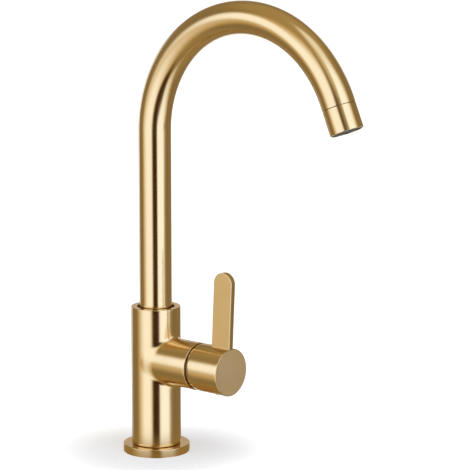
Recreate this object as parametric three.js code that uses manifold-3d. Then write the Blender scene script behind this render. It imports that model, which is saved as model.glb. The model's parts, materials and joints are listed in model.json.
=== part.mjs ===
// A single-lever kitchen mixer tap with a swivelling swan-neck spout, in millimetres, +Z up.
// The origin is the middle of the foot's underside, where the tap stands on the worktop.
// The valve's axis runs along +X, and the spout at rest reaches out over it.
import * as THREE from "three";
import { mergeVertices } from "three/addons/utils/BufferGeometryUtils.js";
import Module from "manifold-3d";

const wasm = await Module();
wasm.setup();

// ---- Driving dimensions ----
const GAP = 0.3; // clearance between pieces that meet

// Flats round a turned face.
const OUTSIDE = 48;
const BORED = 36;
const INSIDE = 28;
const SMALL = 16;

const BODY_RADIUS = 21.5;
const BODY_TOP = 129;
const FOOT_RADIUS = 18.2;
const FLANGE_RADIUS = 29;
const FLANGE_HEIGHT = 7;
const EDGE = 0.4; // small bevel on turned edges

const TUBE_RADIUS = 14;
const TUBE_WALL = 1.2;
const TUBE_FOOT = 121.3;
const NECK_RADIUS = 101.8; // bend of the tube's centre line
const NECK_HEIGHT = 282.6; // height of the bend's centre
const NECK_END = THREE.MathUtils.degToRad(23); // where the bend stops, above level
const NOSE_LENGTH = 4.5; // straight stretch between the bend and the aerator
const AERATOR_LENGTH = 21.3;

const SPOUT_BORE = 16.3;
const SPOUT_FLOOR = 105;
const SLEEVE_RADIUS = 15.9;
const SPOUT_SCREW_HEIGHT = 117.3;

const VALVE_HEIGHT = 82.4;
const VALVE_RADIUS = 20.5;
const SOCKET_END = 49.5; // distances along the valve are measured from the tap's axis
const SEAT = 22;
const PIVOT = 42;
const HUB_START = 50.8;
const HUB_FACE = 85;
const HUB_CLEARANCE = 22; // radius of the hollow about the pivot that lets the hub tilt
const NUT_BORE = 18.4;
const CARTRIDGE_RADIUS = 17.2;

const LEVER_WIDTH = 19.4;
const LEVER_THICKNESS = 5.3;
const LEVER_TOP = 168.1;
const LEVER_LEAN = Math.atan(0.046); // outward
const LEVER_FOOT = new THREE.Vector3(74.7, 0, 90);
const HANDLE_SCREW_PLACE = 72;

const INLET_PORTS = [
  { name: "cold", y: 5, z: 5, radius: 2.6 },
  { name: "hot", y: -5, z: 5, radius: 2.6 },
];
const OUTLET_PORT = { name: "outlet", y: 0, z: -6, radius: 2.8 };
const PORTS = [...INLET_PORTS, OUTLET_PORT];

const HOSE_OFFSET = 9.5;
const HOSE_SOCKET_RADIUS = 6.5;
const HOSE_SOCKET_DEPTH = 36;
const HOSE_THREAD_RADIUS = 4.85;
const HOSE_THREAD_END = 48;

const WORKTOP_THICKNESS = 30;
const STUD_RADIUS = 3;
const STUD_OFFSET = 13.5;
const STUD_BOTTOM = -60;
const STUD_TOP = 15.7;
const HORSESHOE_RADIUS = 23;
const HORSESHOE_SLOT = 7; // half its width
const FIXING_GASKET = 3;
const FIXING_PLATE = 2.5;

// ---- Finishes ----
const finish = (color, roughness, metalness) => ({ color, roughness, metalness });
const BRUSHED_BRASS = finish(0xc9a866, 0.28, 1);
const RAW_BRASS = finish(0xb99a55, 0.45, 1);
const STEEL = finish(0xb4b6b8, 0.35, 1);
const RUBBER = finish(0x1c1c1c, 0.8, 0);
const DARK_PLASTIC = finish(0x2c2b29, 0.5, 0);
const WHITE_PLASTIC = finish(0xdedbd2, 0.5, 0);
const CERAMIC = finish(0xe9e6df, 0.2, 0);

// ---- Helpers ----
const point = (radius, along) => new THREE.Vector2(radius, along);

// A turned piece about the tap's upright axis, from a profile of [radius, height] pairs.
function upright(profile, sides = INSIDE) {
  return new THREE.LatheGeometry(profile.map(([r, h]) => point(r, h)), sides).rotateX(Math.PI / 2);
}

// A turned piece about the valve's axis, from a profile of [radius, distance] pairs.
function sideways(profile, sides = INSIDE) {
  const turned = new THREE.LatheGeometry(profile.map(([r, h]) => point(r, h)), sides);
  return turned.rotateZ(-Math.PI / 2).translate(0, 0, VALVE_HEIGHT);
}

// The profiles of a plain rod and a plain ring between two stations.
const rod = (radius, low, high) => [[0, low], [radius, low], [radius, high], [0, high]];
const ring = (inner, outer, low, high) => [
  [inner, low],
  [outer, low],
  [outer, high],
  [inner, high],
  [inner, low],
];

// The profile of a ring with a round section.
function roundRing(middle, height, section, steps = 8) {
  const profile = [];
  for (let i = 0; i <= steps; i += 1) {
    const turn = (2 * Math.PI * (i % steps)) / steps;
    profile.push([middle + section * Math.cos(turn), height + section * Math.sin(turn)]);
  }
  return profile;
}

function box(low, high) {
  const size = high.map((value, axis) => value - low[axis]);
  const middle = high.map((value, axis) => (value + low[axis]) / 2);
  return new THREE.BoxGeometry(...size).translate(...middle);
}

function toSolid(geometry) {
  const bare = geometry.clone();
  bare.deleteAttribute("normal");
  bare.deleteAttribute("uv");
  const merged = mergeVertices(bare, 1e-4);
  const mesh = new wasm.Mesh({
    numProp: 3,
    vertProperties: merged.attributes.position.array,
    triVerts: new Uint32Array(merged.index.array),
  });
  return new wasm.Manifold(mesh);
}

function toGeometry(solid) {
  const { vertProperties, triVerts } = solid.getMesh();
  const geometry = new THREE.BufferGeometry();
  geometry.setAttribute("position", new THREE.BufferAttribute(vertProperties, 3));
  geometry.setIndex(new THREE.BufferAttribute(triVerts, 1));
  geometry.computeVertexNormals();
  return geometry;
}

// Joins the stock pieces and takes the cutters away.
function machined(stock, cutters = []) {
  let solid = toSolid(stock[0]);
  for (const addition of stock.slice(1)) {
    solid = solid.add(toSolid(addition));
  }
  for (const cutter of cutters) {
    solid = solid.subtract(toSolid(cutter));
  }
  return toGeometry(solid);
}

function piece(name, geometry, look) {
  const mesh = new THREE.Mesh(geometry, new THREE.MeshStandardMaterial(look));
  mesh.name = name;
  return mesh;
}

// ---- Body and base ----
function mixerBody() {
  const seat = FLANGE_HEIGHT + GAP;
  const column = upright([
    [0, 0],
    [FOOT_RADIUS, 0],
    [FOOT_RADIUS, seat],
    [BODY_RADIUS, seat],
    [BODY_RADIUS, BODY_TOP - EDGE],
    [BODY_RADIUS - EDGE, BODY_TOP],
    [0, BODY_TOP],
  ], OUTSIDE);
  const socket = sideways([
    [0, 5],
    [VALVE_RADIUS, 5],
    [VALVE_RADIUS, SOCKET_END - EDGE],
    [VALVE_RADIUS - EDGE, SOCKET_END],
    [0, SOCKET_END],
  ], OUTSIDE);
  return machined([column, socket], [...spoutBore(), ...valveChamber(), ...waterWays(), ...studSockets()]);
}

function spoutBore() {
  const mouth = BODY_TOP + 1;
  const bore = upright([
    [0, SPOUT_FLOOR],
    [SPOUT_BORE, SPOUT_FLOOR],
    [SPOUT_BORE, BODY_TOP - EDGE],
    [SPOUT_BORE + EDGE + 1, mouth],
    [0, mouth],
  ], BORED);
  const screwHole = new THREE.CylinderGeometry(2.3, 2.3, 14, SMALL).rotateZ(Math.PI / 2);
  screwHole.translate(-BODY_RADIUS, 0, SPOUT_SCREW_HEIGHT);
  return [bore, screwHole];
}

function valveChamber() {
  const step = PIVOT - 2;
  const chamber = sideways([
    [0, SEAT],
    [CARTRIDGE_RADIUS + 0.4, SEAT],
    [CARTRIDGE_RADIUS + 0.4, step],
    [NUT_BORE, step],
    [NUT_BORE, SOCKET_END + 1],
    [0, SOCKET_END + 1],
  ], BORED);
  return [chamber];
}

// Each hose inlet rises beside the tap's axis and turns out to the cartridge.
// The mixed water comes back below them and rises behind the axis to the spout.
function waterWays() {
  const outletRise = -6;
  const ways = [];
  for (const port of INLET_PORTS) {
    const side = Math.sign(port.y) * HOSE_OFFSET;
    const socket = rod(HOSE_SOCKET_RADIUS, -1, HOSE_SOCKET_DEPTH);
    const thread = rod(HOSE_THREAD_RADIUS, HOSE_SOCKET_DEPTH - 1, HOSE_THREAD_END);
    const rise = rod(3.5, HOSE_THREAD_END - 1, VALVE_HEIGHT + port.z + port.radius + 1);
    ways.push(upright(socket, 24).translate(0, side, 0));
    ways.push(upright(thread, SMALL).translate(0, side, 0));
    ways.push(upright(rise, SMALL).translate(0, side, 0));
    ways.push(portCutter(port, 0, SEAT + 1));
  }
  ways.push(portCutter(OUTLET_PORT, outletRise, SEAT + 1));
  const rise = rod(3.5, VALVE_HEIGHT + OUTLET_PORT.z - OUTLET_PORT.radius - 1, SPOUT_FLOOR + 1);
  ways.push(upright(rise, SMALL).translate(outletRise, 0, 0));
  return ways;
}

function portCutter(port, from, to, radius = port.radius) {
  return sideways(rod(radius, from, to), SMALL).translate(0, port.y, port.z);
}

function studSockets() {
  const socket = rod(STUD_RADIUS + GAP, -1, STUD_TOP + GAP);
  return [-1, 1].map((side) => upright(socket, SMALL).translate(side * STUD_OFFSET, 0, 0));
}

function baseFlange() {
  const bore = FOOT_RADIUS + GAP;
  const grooveInner = 21.5;
  const grooveOuter = 27;
  const grooveDepth = 2.2;
  return upright([
    [bore, 0],
    [grooveInner, 0],
    [grooveInner, grooveDepth],
    [grooveOuter, grooveDepth],
    [grooveOuter, 0],
    [FLANGE_RADIUS, 0],
    [FLANGE_RADIUS, FLANGE_HEIGHT - EDGE],
    [FLANGE_RADIUS - EDGE, FLANGE_HEIGHT],
    [bore, FLANGE_HEIGHT],
    [bore, 0],
  ], OUTSIDE);
}

function base() {
  const group = new THREE.Group();
  const lowerRing = ring(10, 15.8, SPOUT_FLOOR + GAP, SPOUT_FLOOR + 1);
  const upperRing = ring(TUBE_RADIUS + GAP, SPOUT_BORE - GAP, TUBE_FOOT + GAP, BODY_TOP - 2.2);
  group.add(
    piece("mixer_body", mixerBody(), BRUSHED_BRASS),
    piece("base_flange", baseFlange(), BRUSHED_BRASS),
    piece("base_gasket", upright(ring(21.8, 26.7, 0, 1.9), BORED), RUBBER),
    piece("spout_screw", spoutScrew(), STEEL),
    piece("glide_ring_lower", upright(lowerRing), WHITE_PLASTIC),
    piece("glide_ring_upper", upright(upperRing), DARK_PLASTIC),
  );
  return group;
}

function spoutScrew() {
  const tip = -SLEEVE_RADIUS + 1;
  const outer = -BODY_RADIUS + 0.6;
  const shank = new THREE.CylinderGeometry(2, 2, tip - outer, SMALL).rotateZ(Math.PI / 2);
  const key = new THREE.CylinderGeometry(1.1, 1.1, 4, 6).rotateZ(Math.PI / 2).translate(outer, 0, 0);
  return machined([shank.translate((tip + outer) / 2, 0, 0)], [key]).translate(0, 0, SPOUT_SCREW_HEIGHT);
}

// ---- Spout ----
// The tube's centre line: an upright leg, a round bend over the top, and a short straight nose.
class SwanNeckLine extends THREE.Curve {
  constructor(bendSteps) {
    super();
    this.bendSteps = bendSteps;
    this.steps = bendSteps + 2;
  }

  // The angle round the bend's centre, held at either end along the straight stretches.
  bendAngle(t) {
    const turned = THREE.MathUtils.clamp((t * this.steps - 1) / this.bendSteps, 0, 1);
    return Math.PI - turned * (Math.PI - NECK_END);
  }

  getPoint(t) {
    const angle = this.bendAngle(t);
    const legLeft = Math.max(1 - t * this.steps, 0) * (NECK_HEIGHT - TUBE_FOOT);
    const noseDone = Math.max(t * this.steps - this.steps + 1, 0) * NOSE_LENGTH;
    const across = NECK_RADIUS * (1 + Math.cos(angle));
    const height = NECK_HEIGHT + NECK_RADIUS * Math.sin(angle);
    return new THREE.Vector3(across, 0, height).addScaledVector(this.getTangent(t), noseDone - legLeft);
  }

  getTangent(t) {
    const angle = this.bendAngle(t);
    return new THREE.Vector3(Math.sin(angle), 0, -Math.cos(angle));
  }

  // Stations are spaced by the share of steps, so each straight stretch takes one.
  getPointAt(t) {
    return this.getPoint(t);
  }

  getTangentAt(t) {
    return this.getTangent(t);
  }
}

function circle(radius) {
  return new THREE.Shape().absarc(0, 0, radius, 0, 2 * Math.PI);
}

function spoutTube() {
  const line = new SwanNeckLine(20);
  const section = circle(TUBE_RADIUS);
  section.holes.push(circle(TUBE_RADIUS - TUBE_WALL));
  return new THREE.ExtrudeGeometry(section, {
    steps: line.steps,
    curveSegments: INSIDE / 2,
    bevelEnabled: false,
    extrudePath: line,
  });
}

// The sleeve is brazed in the tube's foot and carries the two seals and the groove for the screw.
function spoutSleeve() {
  const foot = 106.3;
  const shoulder = TUBE_FOOT - GAP;
  const sealGroove = 13.6;
  const screwGroove = 14.4;
  const bore = 9.5;
  const spigot = TUBE_RADIUS - TUBE_WALL - GAP;
  const grooves = [
    [sealGroove, 107.6, 110.4],
    [sealGroove, 111.4, 114.2],
    [screwGroove, 114.9, 119.7],
  ];
  const profile = [[bore, foot], [SLEEVE_RADIUS, foot]];
  for (const [floor, low, high] of grooves) {
    profile.push([SLEEVE_RADIUS, low], [floor, low], [floor, high], [SLEEVE_RADIUS, high]);
  }
  profile.push([SLEEVE_RADIUS, shoulder], [spigot, shoulder], [spigot, 130], [bore, 130], [bore, foot]);
  return upright(profile);
}

function spout() {
  const group = new THREE.Group();
  group.add(
    piece("spout_tube", spoutTube(), BRUSHED_BRASS),
    piece("spout_sleeve", spoutSleeve(), RAW_BRASS),
    piece("o_ring_lower", upright(roundRing(15, 109, 1.05), 24), RUBBER),
    piece("o_ring_upper", upright(roundRing(15, 112.8, 1.05), 24), RUBBER),
    aerator(),
  );
  return group;
}

// ---- Aerator, along its own axis from the end of the tube ----
function aeratorHousing() {
  const spigot = TUBE_RADIUS - TUBE_WALL - GAP;
  const bore = 11.7;
  const mouth = 12.9;
  const shoulder = AERATOR_LENGTH - 8;
  return upright([
    [bore, -7],
    [spigot, -7],
    [spigot, GAP],
    [TUBE_RADIUS, GAP],
    [TUBE_RADIUS, AERATOR_LENGTH - EDGE],
    [TUBE_RADIUS - EDGE, AERATOR_LENGTH],
    [mouth + 0.2, AERATOR_LENGTH],
    [mouth, AERATOR_LENGTH - 0.2],
    [mouth, shoulder],
    [bore, shoulder],
    [bore, -7],
  ]);
}

// A cup whose floor is pierced by hexagonal cells. It is pushed in from below against the shoulder.
function aeratorInsert() {
  const outer = 11.4;
  const rim = 12.6;
  const inner = 10.2;
  const shoulder = AERATOR_LENGTH - 8 + GAP;
  const bottom = AERATOR_LENGTH - 0.6;
  const floor = bottom - 5;
  const cup = upright([
    [0, floor],
    [inner, floor],
    [inner, -4],
    [outer, -4],
    [outer, shoulder],
    [rim, shoulder],
    [rim, bottom],
    [0, bottom],
  ]);
  const pitch = 3.8;
  const cells = [];
  for (let row = -2; row <= 2; row += 1) {
    const across = 5 - Math.abs(row);
    for (let i = 0; i < across; i += 1) {
      const cell = new THREE.CylinderGeometry(1.7, 1.7, 8, 6).rotateX(Math.PI / 2);
      const height = (row * pitch * Math.sqrt(3)) / 2;
      cells.push(cell.translate((i - (across - 1) / 2) * pitch, height, floor + 2.5));
    }
  }
  return machined([cup], cells);
}

function aerator() {
  const group = new THREE.Group();
  const line = new SwanNeckLine(1);
  group.position.copy(line.getPoint(1));
  group.rotation.y = Math.PI - NECK_END;
  group.add(
    piece("aerator_housing", aeratorHousing(), BRUSHED_BRASS),
    piece("aerator_insert", aeratorInsert(), DARK_PLASTIC),
    piece("aerator_screen", upright(rod(11.4, -5.4, -4.3)), STEEL),
    piece("aerator_washer", upright(ring(9, 11.4, -6.9, -5.7)), RUBBER),
  );
  return group;
}

// ---- Cartridge, along the valve's axis ----
function cartridgeBase() {
  const disc = sideways([
    [0, SEAT + GAP],
    [CARTRIDGE_RADIUS, SEAT + GAP],
    [CARTRIDGE_RADIUS, SEAT + 5.3],
    [13.8, SEAT + 5.3],
    [13.8, SEAT + 3.3],
    [0, SEAT + 3.3],
  ]);
  const ways = PORTS.map((port) => portCutter(port, SEAT, SEAT + 6));
  const sealSeats = PORTS.map((port) => portCutter(port, SEAT, SEAT + 2.5, port.radius + 1.8));
  return machined([disc], [...ways, ...sealSeats]);
}

function baseSeal(port) {
  const section = ring(port.radius + GAP, port.radius + 1.5, SEAT + GAP, SEAT + 2.2);
  return piece("base_seal_" + port.name, sideways(section, SMALL).translate(0, port.y, port.z), RUBBER);
}

function fixedDisc() {
  const disc = sideways(rod(13.5, SEAT + 3.6, SEAT + 7));
  return machined([disc], PORTS.map((port) => portCutter(port, SEAT, SEAT + 8)));
}

// The moving disc's pocket joins the outlet to the inlets once the disc has slid up.
function movingDisc() {
  const disc = sideways(rod(10, SEAT + 7.3, SEAT + 10.3));
  const pocket = sideways(rod(4.6, SEAT + 7, SEAT + 8.9), SMALL).translate(0, 0, -3);
  return machined([disc], [pocket]);
}

function discCarrier() {
  const disc = sideways(rod(10, SEAT + 10.6, SEAT + 14.2));
  const pocket = box([SEAT + 11.8, -2.9, -3.6], [SEAT + 15, 2.9, 3.6]).translate(0, 0, VALVE_HEIGHT);
  return machined([disc], [pocket]);
}

function cartridgeHousing() {
  return sideways([
    [14.6, SEAT + 5.6],
    [CARTRIDGE_RADIUS, SEAT + 5.6],
    [CARTRIDGE_RADIUS, PIVOT + 2],
    [15, PIVOT + 2],
    [15, PIVOT + 6],
    [11.8, PIVOT + 6],
    [11.8, PIVOT + 0.6],
    [14.6, PIVOT + 0.6],
    [14.6, SEAT + 5.6],
  ]);
}

// The turret turns in the housing. Its skirt guides the disc carrier, and its slot lets the stem rock.
function turret() {
  const skirtStart = SEAT + 10.8;
  const barrel = sideways([
    [0, skirtStart],
    [14.3, skirtStart],
    [14.3, PIVOT],
    [11.4, PIVOT],
    [11.4, PIVOT + 5],
    [0, PIVOT + 5],
  ]);
  const guide = box([skirtStart - 1, -10.4, -20], [SEAT + 14.8, 10.4, 20]).translate(0, 0, VALVE_HEIGHT);
  const slot = box([SEAT, -4.4, -7.3], [PIVOT + 6, 4.4, 7.3]).translate(0, 0, VALVE_HEIGHT);
  return machined([barrel], [guide, slot, pinHole()]);
}

function pinHole() {
  return crossPin(1.5 + GAP, 30);
}

function crossPin(radius, length) {
  return new THREE.CylinderGeometry(radius, radius, length, SMALL).translate(PIVOT, 0, VALVE_HEIGHT);
}

function stem() {
  const shank = box([PIVOT - 4.5, -4, -4], [HANDLE_SCREW_PLACE + 4, 4, 4]);
  const tip = box([PIVOT - 7.7, -2.4, -2.4], [PIVOT - 4, 2.4, 2.4]);
  const stock = [shank, tip].map((bar) => bar.translate(0, 0, VALVE_HEIGHT));
  return machined(stock, [pinHole()]);
}

// A ring nut with notches for its spanner.
function cartridgeNut() {
  const end = SOCKET_END + 0.9;
  const nut = sideways(ring(15.4, NUT_BORE - 0.4, PIVOT + 2.3, end), BORED);
  const notches = [];
  for (let i = 0; i < 6; i += 1) {
    const notch = box([end - 2, -1.6, 14], [end + 1, 1.6, 20]).rotateX((i * Math.PI) / 3);
    notches.push(notch.translate(0, 0, VALVE_HEIGHT));
  }
  return machined([nut], notches);
}

// A plated cone that hides the nut when the handle rocks.
function coverRing() {
  const start = SOCKET_END + 1.2;
  return sideways([
    [15.6, start],
    [17.9, start],
    [17.9, start + 0.8],
    [13.8, start + 5.8],
    [12.9, start + 5.8],
    [12.9, start + 4.8],
    [15.6, start],
  ]);
}

function cartridge() {
  const group = new THREE.Group();
  group.add(
    piece("cartridge_base", cartridgeBase(), DARK_PLASTIC),
    ...PORTS.map(baseSeal),
    piece("fixed_disc", fixedDisc(), CERAMIC),
    piece("moving_disc", movingDisc(), CERAMIC),
    piece("disc_carrier", discCarrier(), DARK_PLASTIC),
    piece("cartridge_housing", cartridgeHousing(), WHITE_PLASTIC),
    piece("turret", turret(), DARK_PLASTIC),
    piece("pivot_pin", crossPin(1.5, 20), STEEL),
    piece("stem", stem(), RAW_BRASS),
    piece("cartridge_nut", cartridgeNut(), RAW_BRASS),
    piece("cover_ring", coverRing(), BRUSHED_BRASS),
  );
  return group;
}

// ---- Handle ----
function leverBlade() {
  const half = LEVER_WIDTH / 2 - EDGE;
  const length = LEVER_TOP - LEVER_FOOT.z;
  const outline = new THREE.Shape();
  outline.moveTo(-half, 0);
  outline.lineTo(half, 0);
  outline.lineTo(half, length - half - EDGE);
  outline.absarc(0, length - half - EDGE, half, 0, Math.PI);
  outline.closePath();
  const blade = new THREE.ExtrudeGeometry(outline, {
    depth: LEVER_THICKNESS - 2 * EDGE,
    curveSegments: SMALL,
    bevelSize: EDGE,
    bevelThickness: EDGE,
    bevelSegments: 1,
  });
  blade.translate(0, 0, -LEVER_THICKNESS / 2 + EDGE);
  blade.rotateX(Math.PI / 2);
  blade.rotateY(LEVER_LEAN);
  return blade.translate(LEVER_FOOT.x, LEVER_FOOT.y, LEVER_FOOT.z);
}

// The hollow is a ball about the pivot, so the hub can tilt over the end of the valve socket.
function hubHollow() {
  const profile = [[0, PIVOT - 2], [HUB_CLEARANCE, PIVOT - 2]];
  const steps = 10;
  for (let i = 0; i <= steps; i += 1) {
    const angle = (Math.PI / 2) * (1 - i / steps);
    profile.push([HUB_CLEARANCE * Math.sin(angle), PIVOT + HUB_CLEARANCE * Math.cos(angle)]);
  }
  profile[profile.length - 1][0] = 0;
  return sideways(profile, BORED);
}

// A flat filed under the hub's rim, deepest at the rim.
function rimRelief() {
  const depth = 1.1;
  const length = 9;
  const flat = box([-1, -15, -6], [length, 15, 0]);
  flat.rotateY(Math.atan(depth / length));
  return flat.translate(HUB_START, 0, VALVE_HEIGHT - VALVE_RADIUS + depth);
}

function handleBody() {
  const hub = sideways([
    [0, HUB_START],
    [VALVE_RADIUS, HUB_START],
    [VALVE_RADIUS, HUB_FACE - EDGE],
    [VALVE_RADIUS - EDGE, HUB_FACE],
    [0, HUB_FACE],
  ], OUTSIDE);
  const bore = box([PIVOT, -4.3, -4.3], [HANDLE_SCREW_PLACE + 4.3, 4.3, 4.3]).translate(0, 0, VALVE_HEIGHT);
  const bottom = VALVE_HEIGHT - VALVE_RADIUS - 1;
  const screwHole = upright(rod(2.5 + GAP, bottom, VALVE_HEIGHT), SMALL).translate(HANDLE_SCREW_PLACE, 0, 0);
  const plugSeat = upright(rod(3.4 + GAP, bottom, bottom + 2.4), SMALL).translate(HANDLE_SCREW_PLACE, 0, 0);
  return machined([hub, leverBlade()], [hubHollow(), rimRelief(), bore, screwHole, plugSeat]);
}

function handleScrew() {
  const top = VALVE_HEIGHT - 4 - GAP;
  const bottom = top - 9;
  const shank = upright(rod(2.5, bottom, top), SMALL);
  const key = new THREE.CylinderGeometry(1.4, 1.4, 6, 6).rotateX(Math.PI / 2).translate(0, 0, bottom);
  return machined([shank], [key]).translate(HANDLE_SCREW_PLACE, 0, 0);
}

// A push-in cap that stands a little proud under the hub.
function handlePlug() {
  const low = VALVE_HEIGHT - VALVE_RADIUS - 0.8;
  return upright([
    [0, low],
    [2.6, low],
    [3.4, low + 0.6],
    [3.4, low + 1.9],
    [2.4, low + 1.9],
    [2.4, low + 5],
    [0, low + 5],
  ], SMALL).translate(HANDLE_SCREW_PLACE, 0, 0);
}

function handle() {
  const group = new THREE.Group();
  group.add(
    piece("handle", handleBody(), BRUSHED_BRASS),
    piece("handle_screw", handleScrew(), STEEL),
    piece("handle_plug", handlePlug(), BRUSHED_BRASS),
  );
  return group;
}

// ---- Fixing kit under the worktop ----
// A horseshoe that slides over both hoses, with a hole for each stud.
function horseshoe(thickness, top) {
  const mouth = Math.asin(HORSESHOE_SLOT / HORSESHOE_RADIUS);
  const outline = new THREE.Shape();
  outline.absarc(0, 0, HORSESHOE_RADIUS, Math.PI / 2 + mouth, 2.5 * Math.PI - mouth);
  outline.lineTo(HORSESHOE_SLOT, -HOSE_OFFSET);
  outline.absarc(0, -HOSE_OFFSET, HORSESHOE_SLOT, 0, Math.PI, true);
  outline.closePath();
  for (const side of [-1, 1]) {
    outline.holes.push(new THREE.Path().absarc(side * STUD_OFFSET, 0, STUD_RADIUS + 0.4, 0, 2 * Math.PI));
  }
  const stamping = { depth: thickness, curveSegments: 10, bevelEnabled: false };
  const plate = new THREE.ExtrudeGeometry(outline, stamping);
  return plate.translate(0, 0, top - thickness);
}

function hexagonNut(top) {
  const height = 8;
  const across = 10;
  const blank = new THREE.CylinderGeometry(across / Math.sqrt(3), across / Math.sqrt(3), height, 6);
  blank.rotateX(Math.PI / 2).translate(0, 0, top - height / 2);
  const bore = upright(rod(STUD_RADIUS + GAP, top - height - 1, top + 1), SMALL);
  return machined([blank], [bore]);
}

function fixingKit() {
  const group = new THREE.Group();
  const gasketTop = -WORKTOP_THICKNESS;
  const plateTop = gasketTop - FIXING_GASKET - GAP;
  const nutTop = plateTop - FIXING_PLATE - GAP;
  group.add(
    piece("fixing_gasket", horseshoe(FIXING_GASKET, gasketTop), RUBBER),
    piece("fixing_plate", horseshoe(FIXING_PLATE, plateTop), STEEL),
  );
  for (const [name, side] of [["back", -1], ["front", 1]]) {
    const offset = side * STUD_OFFSET;
    const stud = upright(rod(STUD_RADIUS, STUD_BOTTOM, STUD_TOP), SMALL).translate(offset, 0, 0);
    group.add(piece("stud_" + name, stud, STEEL));
    group.add(piece("fixing_nut_" + name, hexagonNut(nutTop).translate(offset, 0, 0), RAW_BRASS));
  }
  return group;
}

const mixer = new THREE.Group();
mixer.name = "swan_neck_mixer";
mixer.add(base(), spout(), cartridge(), handle(), fixingKit());

export default mixer;
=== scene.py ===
"""Looks of a swan-neck kitchen mixer tap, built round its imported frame.

Everything is in metres with +Z up. The spout swivels about the upright axis, and the valve's axis
runs along +X.
Each sub-assembly is a class that holds its sizes and builds its skins; each finish is a frozen dataclass.
"""

import json
import logging
import math
from collections.abc import Sequence
from dataclasses import dataclass, field, replace
from enum import Enum

import bmesh
import bpy
import numpy as np
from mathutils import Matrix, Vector


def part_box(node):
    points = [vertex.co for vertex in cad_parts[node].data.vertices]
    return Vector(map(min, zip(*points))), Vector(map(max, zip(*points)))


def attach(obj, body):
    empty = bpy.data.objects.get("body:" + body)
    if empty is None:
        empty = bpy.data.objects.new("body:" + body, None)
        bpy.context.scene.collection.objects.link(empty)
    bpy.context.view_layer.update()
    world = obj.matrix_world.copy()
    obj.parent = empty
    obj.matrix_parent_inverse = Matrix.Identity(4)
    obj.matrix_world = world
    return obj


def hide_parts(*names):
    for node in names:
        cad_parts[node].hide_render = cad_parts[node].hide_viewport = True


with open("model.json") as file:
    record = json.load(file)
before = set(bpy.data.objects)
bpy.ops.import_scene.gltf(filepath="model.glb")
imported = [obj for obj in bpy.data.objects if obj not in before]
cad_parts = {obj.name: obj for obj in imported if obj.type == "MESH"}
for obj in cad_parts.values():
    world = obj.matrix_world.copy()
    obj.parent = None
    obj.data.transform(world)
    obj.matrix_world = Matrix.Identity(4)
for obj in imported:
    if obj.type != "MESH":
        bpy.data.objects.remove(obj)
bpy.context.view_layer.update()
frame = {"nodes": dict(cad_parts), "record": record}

MM = 0.001
TAU = 2.0 * math.pi
SEW = 1.0e-7  # points closer than this are one point
WELD = 1.0e-6  # and points closer than this once a tool has cut the piece
CREASE = math.radians(28.0)  # a cut piece is sharp where it turns by more
ROUND = 128  # flats round a face that shows
INNER_ROUND = 64  # flats round a face inside
Array = np.ndarray
Socket = bpy.types.NodeSocket
Corner = tuple[float, float, float]  # radius, distance along the axis, rounding

log = logging.getLogger("mixer")


# ---------------------------------------------------------------------------------------------
# Surfaces
# ---------------------------------------------------------------------------------------------


@dataclass(frozen=True)
class Axis:
    """A turning axis, with the direction in which its angle is zero.

    The angle grows by the right-hand rule about the axis.
    """

    origin: tuple[float, float, float]
    along: tuple[float, float, float]
    start: tuple[float, float, float]

    def place(self, radius: Array, height: Array, angle: Array) -> Array:
        """Puts cylinder coordinates in the frame.

        Formula: origin + height * along + radius * (cos(angle) * start + sin(angle) * side),
        where side is along crossed with start.

        Args:
            radius: distance from the axis, any shape that broadcasts.
            height: distance along the axis.
            angle: angle about the axis, in radians.

        Returns:
            Points, with the three coordinates last.
        """
        along = np.array(self.along)
        start = np.array(self.start)
        side = np.cross(along, start)
        radius, height, angle = np.broadcast_arrays(radius, height, angle)
        turned = np.cos(angle)[..., None] * start + np.sin(angle)[..., None] * side
        return np.array(self.origin) + height[..., None] * along + radius[..., None] * turned


@dataclass(frozen=True)
class Profile:
    """A turned piece's section: radius and height of each point, and a mask, 1 on rounded edges."""

    radius: Array
    height: Array
    edge: Array

    def lengths(self) -> Array:
        """Distance run along the section up to each point."""
        runs = np.hypot(np.diff(self.radius), np.diff(self.height))
        return np.concatenate([[0.0], np.cumsum(runs)])

    def divided(self, step: float) -> "Profile":
        """Adds points so that no stretch is longer than a step.

        Args:
            step: longest stretch allowed.

        Returns:
            The same section with more points.
        """
        run = self.lengths()
        parts = np.maximum(np.ceil(np.diff(run) / step), 1).astype(int)
        spans = zip(run[:-1], run[1:], parts)
        extra = [np.linspace(low, high, count, endpoint=False) for low, high, count in spans]
        stations = np.concatenate([*extra, run[-1:]])
        keep = np.concatenate([[True], np.diff(run) > 0])
        run = run[keep]
        return Profile(
            np.interp(stations, run, self.radius[keep]),
            np.interp(stations, run, self.height[keep]),
            np.interp(stations, run, self.edge[keep]),
        )


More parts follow.
